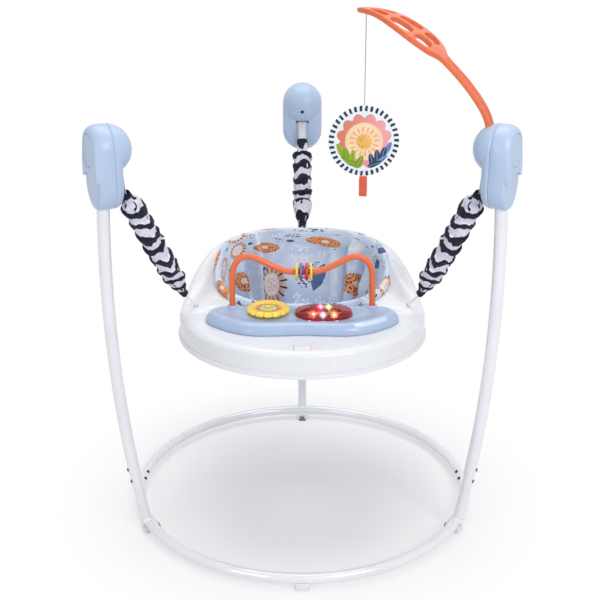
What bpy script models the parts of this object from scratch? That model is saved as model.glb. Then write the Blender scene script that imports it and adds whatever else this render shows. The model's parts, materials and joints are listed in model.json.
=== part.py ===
"""Baby activity jumper.

A ring base carries three bowed legs, and each leg carries a two-shell tower housing. A strap, a coil
spring in a gathered fabric sleeve and a hook hang the round tray from each tower, so that the tray
and its fabric seat bounce. A pierced leaf arm on the right tower holds the mobile.
Metres, +Z up. The child faces -Y. Everything hangs from the empty at the ring's centre.
"""

import math

import bmesh
import bpy
from mathutils import Matrix, Vector

# Fit and manufacture
GAP = 0.0003
WELD = 0.00001

# Base ring and legs
RING_R = 0.390
RING_Z = 0.0225
RING_TUBE_R = 0.0118
SPIGOT_R = 0.0100
FRONT_BORE_R = 0.0094
REAR_BORE_R = 0.0086
SPIGOT_ARC = 3.8
SEAM_ANGLE = 2.0
RING_SCREW_ARC = 2.4
SIDE_ANGLE = 27.3
LEG_FOOT_Z = 0.030
LEG_TOP_Z = 0.760
LEG_FOOT_R = 0.395
LEG_TOP_R = 0.447
LEG_BOW = 0.022
STUB_R = 0.0114
STUB_TOP_Z = 0.190
SLEEVE_Z = 0.149
STUB_BORE_R = 0.0098
UPPER_LEG_R = 0.0132
LEG_END_Z = 0.800
LEG_POCKET_Z = 0.803

# Feet under the ring
FOOT_OUT = 0.014
FOOT_IN = 0.019
FOOT_HALF = 0.015
FOOT_TOP = 0.0175
GRIP_TOP = 0.0019
GRIP_LUG = 0.006

# Tower housings, as radius from the ring's centre and height
TOWER_HALF = 0.050
TOWER_TOP_C = 0.877
TOWER_LOW_C = 0.807
INNER_FACE_R = 0.412
INNER_ROUND = 0.0175
DOME_BLEND = 0.004
SEAM_R = 0.4312
LOWER_FACE_R = 0.465
POD_FACE_R = 0.471
POD_BOTTOM_Z = 0.8300
POD_FOOT_Z = 0.8205
DOME_R = 0.0465
DOME_WIDE = 0.0490
DOME_CENTRE_R = 0.430
SCREW_HOLE_Z = 0.860
BUTTON_R = 0.0328
BUTTON_THICK = 0.0055
BUTTON_TRAVEL = 0.004
SLOT_Z = 0.831

# Straps, springs and sleeves, from tower to tray
SLEEVE_TOP = {"right": (0.351, -0.181, 0.785), "left": (-0.351, -0.181, 0.785), "rear": (0, 0.379, 0.790)}
SLEEVE_END = {"right": (0.2615, -0.048, 0.522), "left": (-0.2615, -0.048, 0.522), "rear": (0, 0.258, 0.604)}
HOOK_SLOT = {"right": (0.2400, -0.014), "left": (-0.2400, -0.014), "rear": (0, 0.2385)}
SLEEVE_BORE_R = 0.0150
SLEEVE_MOUTH_R = 0.0168
SLEEVE_NECK_R = 0.0128
SLEEVE_NECK_LONG = 0.028
SLEEVE_BODY_R = 0.0222
GATHERS = {"right": 11, "left": 11, "rear": 8}
SPRING_COIL_R = 0.0118
SPRING_WIRE_R = 0.0012
SPRING_CURLS = {"right": 11, "left": 11, "rear": 8}

# Tray
TRAY_R = 0.279
TRAY_DECK_Z = 0.4765
TRAY_BACK_RISE = 0.106
TRAY_BACK_SINE = 0.82
TRAY_WALL_Z = 0.428
TRAY_LIP_Z = 0.4195
TRAY_LIP_OUT = 0.0045
TRAY_SKIN = 0.003
WELL_A = 0.201
WELL_B = 0.115
WELL_Y = 0.083
WELL_N = 2.8
RECESS_Y = -0.046

# Fabric seat
RIM_A = 0.211
RIM_B = 0.120
RIM_SLOPE = 0.4727
RIM_Z = 0.500
RIM_Y = -0.020
SEAT_FLOOR_Z = 0.275
CLOTH = 0.004
LEG_HOLE_R = 0.045

# Console and its toys
CONSOLE_Z = (0.4772, 0.5010)
CONSOLE_WALL = 0.004
CONSOLE_DISH = 0.0012
CONSOLE_FLOOR_Z = CONSOLE_Z[1] - CONSOLE_DISH
BAR_R = 0.0068
BAR_X = 0.1545
BAR_Y = -0.069
BAR_END_Z = 0.4890
COLLAR_R = 0.0120
BEAD_BORE_R = 0.0080
BEAD_OUT_R = 0.0200
BEAD_Z = 0.5815
SPINNER_AT = (-0.074, -0.106)
SPINNER_R = 0.047
AXLE_R = 0.0030
DOME_AT = (0.0465, -0.1160)
DOME_HALF = (0.0625, 0.0385)
DOME_Z = (0.5005, 0.5205)
DOME_POWER = 2.3
DOME_BULGE = 0.006
DOME_WELL_Z = 0.4962
DOME_WELL_GAP = 0.0008

# Leaf arm and mobile, as radius and height in the right tower's upright plane
ARM_PATH = [(0.4140, 0.9060), (0.4140, 0.9200), (0.4060, 0.9414), (0.3927, 0.9619), (0.3752, 0.9840),
            (0.3535, 1.0079), (0.3299, 1.0297), (0.3110, 1.0465), (0.3000, 1.0565), (0.2830, 1.0705),
            (0.2680, 1.0815), (0.2520, 1.0922), (0.2293, 1.1062), (0.2026, 1.1195), (0.1763, 1.1290),
            (0.1500, 1.1328), (0.1252, 1.1335)]
LEAF_START = 7
STEM_HALF = 0.0105
STEM_FLARE = 0.0030
LEAF_HALF = 0.0660
LEAF_DROOP = 0.0030
ARM_THICK = 0.0110
SOCKET_FLOOR_Z = 0.9045
CORD_TOP = (0.1290, -0.0660, 1.1262)
CORD_R = 0.0009
DISC_Z = 0.8685
DISC_R = 0.0740
DISC_HALF_THICK = 0.0090
RIBBON_HALF = 0.0085
RIBBON_DROP = 0.0440

AZIMUTH = {"left": 180 + SIDE_ANGLE, "right": -SIDE_ANGLE, "rear": 90}
FRONT_REACH = RING_R + FOOT_OUT
REAR_REACH = POD_FACE_R
CENTRE_Y = -(REAR_REACH - FRONT_REACH) / 2


# Scene, collections and materials
def clear_scene():
    for obj in list(bpy.data.objects):
        bpy.data.objects.remove(obj)


def new_collection(name):
    made = bpy.data.collections.new(name)
    bpy.context.scene.collection.children.link(made)
    return made


clear_scene()
PARTS = new_collection("baby_activity_jumper")
CUTTERS = new_collection("cutters")


def finish(name, colour, roughness, metallic=0.0, alpha=1.0):
    made = bpy.data.materials.new(name)
    made.use_nodes = True
    shader = made.node_tree.nodes["Principled BSDF"]
    shader.inputs["Base Color"].default_value = (*colour, 1.0)
    shader.inputs["Roughness"].default_value = roughness
    shader.inputs["Metallic"].default_value = metallic
    shader.inputs["Alpha"].default_value = alpha
    return made


WHITE_PAINT = finish("white_painted_steel", (0.80, 0.81, 0.83), 0.25, 0.2)
PALE_BLUE = finish("pale_blue_plastic", (0.48, 0.60, 0.79), 0.40)
WHITE_PLASTIC = finish("white_plastic", (0.84, 0.85, 0.88), 0.35)
GREY_RUBBER = finish("grey_rubber", (0.25, 0.25, 0.26), 0.80)
DARK_SCREW = finish("dark_screw", (0.03, 0.03, 0.04), 0.40, 0.6)
WEBBING = finish("white_webbing", (0.78, 0.77, 0.82), 0.85)
SPRING_STEEL = finish("spring_steel", (0.55, 0.56, 0.58), 0.30, 1.0)
STRIPED_CLOTH = finish("striped_cloth", (0.60, 0.58, 0.68), 0.90)
SEAT_CLOTH = finish("seat_cloth", (0.40, 0.48, 0.66), 0.90)
ORANGE = finish("orange_plastic", (0.85, 0.17, 0.06), 0.40)
YELLOW = finish("yellow_clear_plastic", (0.90, 0.62, 0.04), 0.15, alpha=0.85)
YELLOW_BEAD = finish("yellow_plastic", (0.90, 0.62, 0.04), 0.35)
PURPLE_BEAD = finish("purple_plastic", (0.25, 0.13, 0.45), 0.35)
RED_BEAD = finish("red_plastic", (0.70, 0.04, 0.03), 0.35)
RED_CLEAR = finish("red_clear_plastic", (0.45, 0.01, 0.02), 0.12, alpha=0.75)
BOARD = finish("light_board", (0.75, 0.75, 0.70), 0.60)
DISC_CLOTH = finish("disc_cloth", (0.85, 0.70, 0.55), 0.85)
RIBBON = finish("orange_ribbon", (0.80, 0.15, 0.07), 0.80)
CORD = finish("cord", (0.45, 0.45, 0.46), 0.80)


# Building blocks
def empty(name, parent=None, location=(0, 0, 0), azimuth=0.0):
    made = bpy.data.objects.new(name, None)
    made.location = location
    made.rotation_euler = (0, 0, math.radians(azimuth))
    made.parent = parent
    PARTS.objects.link(made)
    return made


STAND = empty("ring_centre", location=(0, CENTRE_Y, 0))
BAYS = {side: empty("bay_" + side, STAND, azimuth=angle) for side, angle in AZIMUTH.items()}


def bay_point(side, radius, across, height):
    """A point of a tower's own frame, in the ring's frame."""
    return Matrix.Rotation(math.radians(AZIMUTH[side]), 4, "Z") @ Vector((radius, across, height))


def part(name, data, material, parent):
    made = bpy.data.objects.new(name, data)
    if data.materials:
        data.materials.clear()
    data.materials.append(material)
    made.parent = parent
    PARTS.objects.link(made)
    return made


def mesh_part(name, bm, material, parent, sharp=35):
    mesh = bpy.data.meshes.new(name)
    bm.to_mesh(mesh)
    bm.free()
    mesh.shade_smooth()
    mesh.set_sharp_from_angle(angle=math.radians(sharp))
    return part(name, mesh, material, parent)


def tube(name, points, radius, material, parent, resolution=2):
    """A round bar or wire along the points, with flat caps."""
    curve = bpy.data.curves.new(name, "CURVE")
    curve.dimensions = "3D"
    curve.bevel_depth = radius
    curve.bevel_resolution = resolution
    curve.use_fill_caps = True
    spline = curve.splines.new("POLY")
    spline.points.add(len(points) - 1)
    for point, place in zip(spline.points, points):
        point.co = (*place, 1)
    return part(name, curve, material, parent)


def meshed(curve):
    """The curve's solid as a mesh object with its caps welded, so that it can be cut and joined."""
    bpy.context.view_layer.update()
    graph = bpy.context.evaluated_depsgraph_get()
    mesh = bpy.data.meshes.new_from_object(curve.evaluated_get(graph))
    bm = bmesh.new()
    bm.from_mesh(mesh)
    bmesh.ops.remove_doubles(bm, verts=bm.verts, dist=WELD)
    bm.to_mesh(mesh)
    bm.free()
    name = curve.name
    parent = curve.parent
    material = curve.data.materials[0]
    basis = curve.matrix_basis.copy()
    bpy.data.objects.remove(curve)
    made = part(name, mesh, material, parent)
    made.matrix_basis = basis
    mesh.shade_smooth()
    mesh.set_sharp_from_angle(angle=math.radians(50))
    return made


def combine(target, tool, operation):
    modifier = target.modifiers.new(tool.name, "BOOLEAN")
    modifier.operation = operation
    modifier.object = tool
    modifier.solver = "EXACT"
    tool.hide_render = True
    tool.display_type = "WIRE"
    for holder in list(tool.users_collection):
        holder.objects.unlink(tool)
    CUTTERS.objects.link(tool)


def cut(target, tool):
    combine(target, tool, "DIFFERENCE")


def join(target, tool):
    combine(target, tool, "UNION")


def aim(obj, place, direction):
    """Puts the object at a place with its own +Z along a direction."""
    obj.location = place
    obj.rotation_mode = "QUATERNION"
    obj.rotation_quaternion = Vector(direction).to_track_quat("Z", "Y")
    return obj


def cylinder(name, radius, length, material, parent, segments=16):
    """A cylinder that starts at its own origin and runs along +Z."""
    bm = bmesh.new()
    bmesh.ops.create_cone(bm, cap_ends=True, segments=segments, radius1=radius, radius2=radius, depth=length)
    bmesh.ops.translate(bm, verts=bm.verts, vec=(0, 0, length / 2))
    return mesh_part(name, bm, material, parent)


def block(name, low, high, material, parent, bevel=0.0):
    bm = bmesh.new()
    bmesh.ops.create_cube(bm, size=1)
    size = Vector(high) - Vector(low)
    bmesh.ops.scale(bm, verts=bm.verts, vec=size)
    bmesh.ops.translate(bm, verts=bm.verts, vec=(Vector(low) + Vector(high)) / 2)
    if bevel:
        upright = [e for e in bm.edges if abs(e.verts[0].co.z - e.verts[1].co.z) > size.z / 2]
        bmesh.ops.bevel(bm, geom=upright, offset=bevel, segments=2, affect="EDGES", profile=0.5, material=-1)
    return mesh_part(name, bm, material, parent)


def turned(name, profile, steps, material, parent):
    """A turned solid: its profile runs down the outer side, from the axis to the axis or in a closed loop."""
    mesh = bpy.data.meshes.new(name)
    closed = profile[0][0] > WELD
    edges = [(i, i + 1) for i in range(len(profile) - 1)]
    if closed:
        edges.append((len(profile) - 1, 0))
    mesh.from_pydata([(radius, 0, height) for radius, height in profile], edges, [])
    made = part(name, mesh, material, parent)
    screw = made.modifiers.new("turn", "SCREW")
    screw.steps = steps
    screw.render_steps = steps
    screw.use_merge_vertices = True
    screw.merge_threshold = WELD
    return made


def spun(name, profile, steps, shape, upward, material, parent, skin=0.0):
    """A profile turned into a surface, each of whose points is then moved by shape(radius, angle, height)."""
    bm = bmesh.new()
    verts = [bm.verts.new((radius, 0, height)) for radius, height in profile]
    edges = [bm.edges.new(pair) for pair in zip(verts, verts[1:])]
    bmesh.ops.spin(bm, geom=verts + edges, cent=(0, 0, 0), axis=(0, 0, 1), angle=2 * math.pi,
                   steps=steps, use_merge=True)
    bmesh.ops.remove_doubles(bm, verts=bm.verts, dist=WELD)
    for vert in bm.verts:
        radius = math.hypot(vert.co.x, vert.co.y)
        vert.co = shape(radius, math.atan2(vert.co.y, vert.co.x), vert.co.z)
    bmesh.ops.recalc_face_normals(bm, faces=bm.faces)
    bm.normal_update()
    probe = max(bm.faces, key=lambda f: f.calc_center_median().dot(Vector(upward)))
    if probe.normal.dot(Vector(upward)) < 0:
        bmesh.ops.reverse_faces(bm, faces=bm.faces)
    made = mesh_part(name, bm, material, parent)
    if skin:
        wall = made.modifiers.new("wall", "SOLIDIFY")
        wall.thickness = skin
        wall.offset = -1
    return made


def slab(name, outline, start, end, soft_start, soft_end, material, parent, keep_below=-1.0):
    """An outline in the upright plane, drawn out along +X, with its two rims rounded above a height."""
    bm = bmesh.new()
    face = bm.faces.new([bm.verts.new((start, across, height)) for across, height in outline])
    drawn = bmesh.ops.extrude_face_region(bm, geom=[face])["geom"]
    moved = [v for v in drawn if isinstance(v, bmesh.types.BMVert)]
    bmesh.ops.translate(bm, verts=moved, vec=(end - start, 0, 0))
    bmesh.ops.recalc_face_normals(bm, faces=bm.faces)
    for place, width in ((start, soft_start), (end, soft_end)):
        rim = [e for e in bm.edges
               if all(abs(v.co.x - place) < WELD and v.co.z > keep_below for v in e.verts)]
        if width:
            bmesh.ops.bevel(bm, geom=rim, offset=width, segments=3, affect="EDGES", profile=0.5, material=-1)
    return mesh_part(name, bm, material, parent)


def pill(half, low, high, steps=8):
    """A stadium outline: two half circles about the heights low and high."""
    top = [(half * math.cos(a), high + half * math.sin(a))
           for a in (math.pi * i / steps for i in range(steps + 1))]
    bottom = [(half * math.cos(a), low + half * math.sin(a))
              for a in (math.pi * (1 + i / steps) for i in range(steps + 1))]
    return top + bottom


def strip(name, points, halves, across, thickness, material, parent):
    """A flat strap along the points, of changing half width, with its width along one direction."""
    bm = bmesh.new()
    side = Vector(across).normalized()
    pairs = []
    for place, half in zip(points, halves):
        middle = Vector(place)
        pairs.append((bm.verts.new(middle - side * half), bm.verts.new(middle + side * half)))
    for (a, b), (c, d) in zip(pairs, pairs[1:]):
        bm.faces.new((a, b, d, c))
    made = mesh_part(name, bm, material, parent)
    wall = made.modifiers.new("thickness", "SOLIDIFY")
    wall.thickness = thickness
    wall.offset = 0
    return made


def smooth_path(points, steps, closed=False):
    """Points on a smooth curve through the given ones (a uniform spline through its points)."""
    places = [Vector(p) for p in points]
    count = len(places)
    spans = count if closed else count - 1
    result = []
    for i in range(spans):
        if closed:
            p0, p1, p2, p3 = (places[(i + k) % count] for k in (-1, 0, 1, 2))
        else:
            p1, p2 = places[i], places[i + 1]
            p0 = places[i - 1] if i else p1 * 2 - p2
            p3 = places[i + 2] if i + 2 < count else p2 * 2 - p1
        for k in range(steps):
            t = k / steps
            result.append(0.5 * (2 * p1 + (p2 - p0) * t + (2 * p0 - 5 * p1 + 4 * p2 - p3) * t * t
                                 + (3 * p1 - p0 - 3 * p2 + p3) * t ** 3))
    if not closed:
        result.append(places[-1])
    return result


def superellipse(angle, half_x, half_y, power):
    """A point of a squarish ellipse in the direction of the angle."""
    c = math.cos(angle)
    s = math.sin(angle)
    reach = (abs(c / half_x) ** power + abs(s / half_y) ** power) ** (-1 / power)
    return reach * c, reach * s


def smoothstep(value):
    t = min(1.0, max(0.0, value))
    return t * t * (3 - 2 * t)


# Base ring and legs
def leg_point(height):
    """The leg's centreline: a straight lean with an outward bow, in the tower's own frame."""
    share = (height - LEG_FOOT_Z) / (LEG_TOP_Z - LEG_FOOT_Z)
    radius = LEG_FOOT_R + (LEG_TOP_R - LEG_FOOT_R) * share + 4 * LEG_BOW * share * (1 - share)
    return Vector((radius, 0, height))


def leg_run(low, high, count):
    return [leg_point(low + (high - low) * i / (count - 1)) for i in range(count)]


def ring_arc(start, end, count, stop=0.0):
    """Points along the ring. A short span at each end sets the caps square, and a screw's stop has a point."""
    ends = [0, 0.02 / count] + ([stop / abs(end - start)] if stop else [])
    shares = ends + [i / (count - 1) for i in range(1, count - 1)] + [1 - share for share in reversed(ends)]
    angles = [math.radians(start + (end - start) * share) for share in shares]
    return [Vector((RING_R * math.cos(a), RING_R * math.sin(a), RING_Z)) for a in angles]


def screw(name, place, direction, head_r, parent):
    """A round-headed screw whose shank goes in along the other way."""
    profile = [(0, 0.0022), (head_r * 0.6, 0.0018), (head_r, 0.0006), (head_r, 0.0),
               (0.0018, 0.0), (0.0018, -0.0080), (0, -0.0080)]
    return aim(turned(name, profile, 12, DARK_SCREW, parent), place, direction)


def screw_hole(name, target, place, direction, parent):
    hole = cylinder(name, 0.0018 + GAP, 0.0110, DARK_SCREW, parent, 10)
    aim(hole, Vector(place) - Vector(direction) * 0.0095, direction)
    cut(target, hole)


def make_ring():
    """Two half rings: the rear one's necked ends plug into the front one, and the leg stubs are welded on."""
    seam_gap = math.degrees(GAP / RING_R)
    front = meshed(tube("base_ring_front", ring_arc(180 - SEAM_ANGLE, 360 + SEAM_ANGLE, 29),
                        RING_TUBE_R, WHITE_PAINT, STAND))
    rear_path = ring_arc(SEAM_ANGLE + seam_gap, 180 - SEAM_ANGLE - seam_gap, 27, stop=RING_SCREW_ARC)
    rear = meshed(tube("base_ring_rear", rear_path, RING_TUBE_R, WHITE_PAINT, STAND))
    for side, seam, way in (("right", SEAM_ANGLE, -1), ("left", 180 - SEAM_ANGLE, 1)):
        spigot = ring_arc(seam - way * 0.5, seam + way * SPIGOT_ARC, 4)
        join(rear, meshed(tube("spigot_" + side, spigot, SPIGOT_R, WHITE_PAINT, STAND)))
        socket = ring_arc(seam - way * 0.5, seam + way * (SPIGOT_ARC + seam_gap), 4)
        cut(front, meshed(tube("ring_socket_" + side, socket, SPIGOT_R + GAP, WHITE_PAINT, STAND)))
        angle = math.radians(seam - way * (RING_SCREW_ARC + seam_gap))
        middle = Vector((RING_R * math.cos(angle), RING_R * math.sin(angle), RING_Z))
        up_and_in = Vector((-math.cos(angle), -math.sin(angle), 1)).normalized()
        seat = middle + up_and_in * (RING_TUBE_R + GAP)
        screw_hole("ring_screw_hole_" + side, rear, seat, up_and_in, STAND)
        screw("ring_screw_" + side, seat, up_and_in, 0.0042, STAND)
    for side, ring in (("right", front), ("left", front), ("rear", rear)):
        stub = meshed(tube("stub_" + side, leg_run(0.024, STUB_TOP_Z, 6), STUB_R, WHITE_PAINT, BAYS[side]))
        join(ring, stub)
        bore = leg_run(LEG_FOOT_Z, STUB_TOP_Z + 0.004, 6)
        cut(ring, meshed(tube("stub_bore_" + side, bore, STUB_BORE_R, WHITE_PAINT, BAYS[side])))
        screw_z = SLEEVE_Z - 0.014
        seat = leg_point(screw_z) + Vector((STUB_R + GAP, 0, 0))
        place = bay_point(side, *seat)
        outward = bay_point(side, 1, 0, -0.14).normalized()
        screw_hole("leg_screw_hole_" + side, ring, place, outward, STAND)
        screw("leg_screw_" + side, place, outward, 0.0040, STAND)
    front_bore = ring_arc(180 - SEAM_ANGLE + 1.0, 360 + SEAM_ANGLE - 1.0, 29)
    cut(front, meshed(tube("front_bore", front_bore, FRONT_BORE_R, WHITE_PAINT, STAND)))
    rear_bore = ring_arc(SEAM_ANGLE - SPIGOT_ARC - 0.5, 180 - SEAM_ANGLE + SPIGOT_ARC + 0.5, 29)
    cut(rear, meshed(tube("rear_bore", rear_bore, REAR_BORE_R, WHITE_PAINT, STAND)))


def make_upper_legs():
    """Bowed tubes, each sleeved over its stub and open at both ends."""
    for side, bay in BAYS.items():
        leg = meshed(tube("upper_leg_" + side, leg_run(SLEEVE_Z, LEG_END_Z, 13), UPPER_LEG_R, WHITE_PAINT, bay))
        bore = tube("leg_bore_" + side, leg_run(SLEEVE_Z - 0.010, LEG_END_Z + 0.010, 13),
                    STUB_R + 2 * GAP, WHITE_PAINT, bay)
        cut(leg, meshed(bore))


def make_feet():
    """A saddle under the ring on each side, with a rubber grip under it and up its inner end."""
    places = {"front": -90, "rear": 90, "left": AZIMUTH["left"], "right": AZIMUTH["right"]}
    for side, angle in places.items():
        frame = empty("foot_frame_" + side, STAND, azimuth=angle)
        low = (RING_R - FOOT_IN, -FOOT_HALF, GRIP_TOP + GAP)
        high = (RING_R + FOOT_OUT, FOOT_HALF, FOOT_TOP)
        foot = block("foot_" + side, low, high, WHITE_PLASTIC, frame, bevel=0.004)
        saddle = ring_arc(-6, 6, 5)
        cut(foot, meshed(tube("saddle_" + side, saddle, RING_TUBE_R + 3 * GAP, WHITE_PLASTIC, frame)))
        pad = block("foot_grip_" + side, (RING_R - FOOT_IN - GRIP_LUG, -0.010, 0),
                    (RING_R + 0.008, 0.010, GRIP_TOP), GREY_RUBBER, frame, bevel=0.003)
        lug = block("lug_" + side, (RING_R - FOOT_IN - GRIP_LUG + 0.001, -0.006, GRIP_TOP / 2),
                    (RING_R - FOOT_IN - 2 * GAP, 0.006, 0.0110), GREY_RUBBER, frame)
        join(pad, lug)


# Tower housings
def inner_face(across, height, share):
    """The radius of the inner shell's face at a place: a round-edged plate blended with the dome."""
    rise = INNER_ROUND - min(INNER_ROUND, (1 - share) * TOWER_HALF)
    plate = INNER_FACE_R + INNER_ROUND - math.sqrt(INNER_ROUND ** 2 - rise ** 2)
    away = min(1.0, math.hypot(across, height - TOWER_TOP_C) / DOME_WIDE)
    dome = DOME_CENTRE_R - DOME_R * math.sqrt(1 - away ** 2)
    near = max(0.0, 1 - abs(plate - dome) / DOME_BLEND)
    return min(plate, dome) - near ** 2 * DOME_BLEND / 4


def shell_outline():
    """The tower's outline as pairs of a direction from its upright middle line and a height on that line."""
    sides = [TOWER_TOP_C + (TOWER_LOW_C - TOWER_TOP_C) * k / 5 for k in range(1, 5)]
    top = [(math.pi * i / 10, TOWER_TOP_C) for i in range(11)]
    bottom = [(math.pi * (1 + i / 10), TOWER_LOW_C) for i in range(11)]
    left = [(math.pi, height) for height in sides]
    right = [(0.0, height) for height in reversed(sides)]
    return top + left + bottom + right


def make_inner_shell(side, bay):
    """The half that faces the seat: a rounded pill that swells to a dome, with a strap slot and a screw hole."""
    bm = bmesh.new()
    outline = shell_outline()
    rings = [[bm.verts.new((SEAM_R - GAP, TOWER_HALF * math.cos(a), z + TOWER_HALF * math.sin(a)))
              for a, z in outline]]
    for share in (1.0, 0.985, 0.94, 0.86, 0.74, 0.58, 0.40, 0.20, 0.0):
        ring = []
        for a, z in outline:
            across = share * TOWER_HALF * math.cos(a)
            height = z + share * TOWER_HALF * math.sin(a)
            ring.append(bm.verts.new((inner_face(across, height, share), across, height)))
        rings.append(ring)
    count = len(outline)
    for low, high in zip(rings, rings[1:]):
        for k in range(count):
            bm.faces.new((low[k], low[(k + 1) % count], high[(k + 1) % count], high[k]))
    bm.faces.new(rings[0])
    bmesh.ops.remove_doubles(bm, verts=bm.verts, dist=WELD)
    bmesh.ops.recalc_face_normals(bm, faces=bm.faces)
    shell = mesh_part("tower_inner_" + side, bm, PALE_BLUE, bay, sharp=50)
    well = cylinder("screw_well_" + side, 0.0045, 0.0250, PALE_BLUE, bay, 16)
    aim(well, (0.375, 0, SCREW_HOLE_Z), (1, 0, 0))
    cut(shell, well)
    screw_body = cylinder("tower_screw_" + side, 0.0041, 0.0060, DARK_SCREW, bay, 12)
    aim(screw_body, (0.3935, 0, SCREW_HOLE_Z), (1, 0, 0))
    slot = block("strap_slot_" + side, (0.395, -0.0170, SLOT_Z - 0.0035),
                 (0.4285, 0.0170, SLOT_Z + 0.0035), PALE_BLUE, bay)
    cut(shell, slot)
    return shell


def make_outer_shell(side, bay):
    """The half that faces out: a flat lower face under a raised pod, with the release button's well."""
    shell = slab("tower_outer_" + side, pill(TOWER_HALF, TOWER_LOW_C, TOWER_TOP_C), SEAM_R,
                 LOWER_FACE_R, 0, 0.0060, PALE_BLUE, bay)
    half = TOWER_HALF - 0.0008
    pod_outline = [(half * math.cos(a), TOWER_TOP_C + half * math.sin(a))
                   for a in (math.pi * i / 10 for i in range(11))]
    pod_outline += [(-half, POD_FOOT_Z), (0.008 - half, POD_FOOT_Z), (0.012 - half, POD_BOTTOM_Z)]
    pod_outline += [(half - 0.012, POD_BOTTOM_Z), (half - 0.008, POD_FOOT_Z), (half, POD_FOOT_Z)]
    pod = slab("pod_" + side, pod_outline, 0.452, POD_FACE_R, 0, 0.0130, PALE_BLUE, bay,
               keep_below=TOWER_TOP_C - 0.001)
    join(shell, pod)
    well_floor = POD_FACE_R - 0.0005 - BUTTON_THICK - BUTTON_TRAVEL - 0.0005
    well = cylinder("button_well_" + side, BUTTON_R + 0.0005, 0.0250, PALE_BLUE, bay, 28)
    aim(well, (well_floor, 0, TOWER_TOP_C), (1, 0, 0))
    cut(shell, well)
    pocket = tube("leg_pocket_" + side, leg_run(0.735, LEG_POCKET_Z, 3), UPPER_LEG_R + 2 * GAP, PALE_BLUE, bay)
    cut(shell, meshed(pocket))
    return shell


def make_button(side, bay):
    """The round height-release button, a shallow dished disc with its origin on its slide."""
    face = POD_FACE_R - 0.0005
    profile = [(0, BUTTON_THICK - 0.0010), (BUTTON_R * 0.72, BUTTON_THICK - 0.0010),
               (BUTTON_R * 0.86, BUTTON_THICK), (BUTTON_R - 0.0008, BUTTON_THICK),
               (BUTTON_R, BUTTON_THICK - 0.0008), (BUTTON_R, 0), (0, 0)]
    button = turned("height_button_" + side, profile, 28, PALE_BLUE, bay)
    return aim(button, (face - BUTTON_THICK, 0, TOWER_TOP_C), (1, 0, 0))


def make_towers():
    for side, bay in BAYS.items():
        shell = make_inner_shell(side, bay)
        make_outer_shell(side, bay)
        make_button(side, bay)
        if side == "right":
            wide = STEM_HALF + STEM_FLARE + GAP
            socket = block("arm_socket", (ARM_PATH[0][0] - ARM_THICK / 2 - GAP, -wide, SOCKET_FLOOR_Z),
                           (ARM_PATH[0][0] + ARM_THICK / 2 + GAP, wide, 0.940), PALE_BLUE, bay)
            cut(shell, socket)


# Straps, springs, sleeves and hooks
def least_gap(points, radius):
    """The least room between turns that aren't neighbours along the wire."""
    apart = 5
    gap = 1.0
    for i, first in enumerate(points):
        for second in points[i + apart:]:
            gap = min(gap, (first - second).length - 2 * radius)
    return gap


def spring_points(top, end, curls):
    """Straight ends on the axis and a helix of evenly spaced curls between them."""
    per_curl = 8
    axis = (end - top).normalized()
    first = axis.orthogonal().normalized()
    second = axis.cross(first)
    start = top + axis * 0.0275
    stop = end - axis * 0.018
    points = [start, start + axis * 0.004]
    run_start = start + axis * 0.008
    run = (stop - axis * 0.008) - run_start
    for i in range(curls * per_curl + 1):
        turn = 2 * math.pi * i / per_curl
        ring = (first * math.cos(turn) + second * math.sin(turn)) * SPRING_COIL_R
        points.append(run_start + run * (i / (curls * per_curl)) + ring)
    return points + [stop - axis * 0.004, stop]


def sleeve_profile(length, gathers):
    """The necked and gathered outside from top to bottom, then the plain bore back up."""
    neck_bore = SLEEVE_NECK_R - 0.0015
    outer = [(SLEEVE_NECK_R, 0.0), (SLEEVE_NECK_R + 0.001, -SLEEVE_NECK_LONG)]
    run = length - SLEEVE_NECK_LONG
    for i in range(2 * gathers + 1):
        share = (i + 0.5) / (2 * gathers + 1)
        belly = min(1.0, 8 * share, 5 * (1 - share))
        ruffle = 0.0016 if i % 2 else -0.0016
        uneven = 0.0010 * math.sin(2.3 * i)
        radius = SLEEVE_MOUTH_R + (SLEEVE_BODY_R - SLEEVE_MOUTH_R) * belly + ruffle + uneven
        outer.append((max(radius, SLEEVE_MOUTH_R), -SLEEVE_NECK_LONG - run * share))
    outer.append((SLEEVE_MOUTH_R, -length))
    bore = [(SLEEVE_BORE_R, -length), (SLEEVE_BORE_R, -SLEEVE_NECK_LONG - 0.006),
            (neck_bore, -SLEEVE_NECK_LONG), (neck_bore, 0.0)]
    return outer + bore


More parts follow.
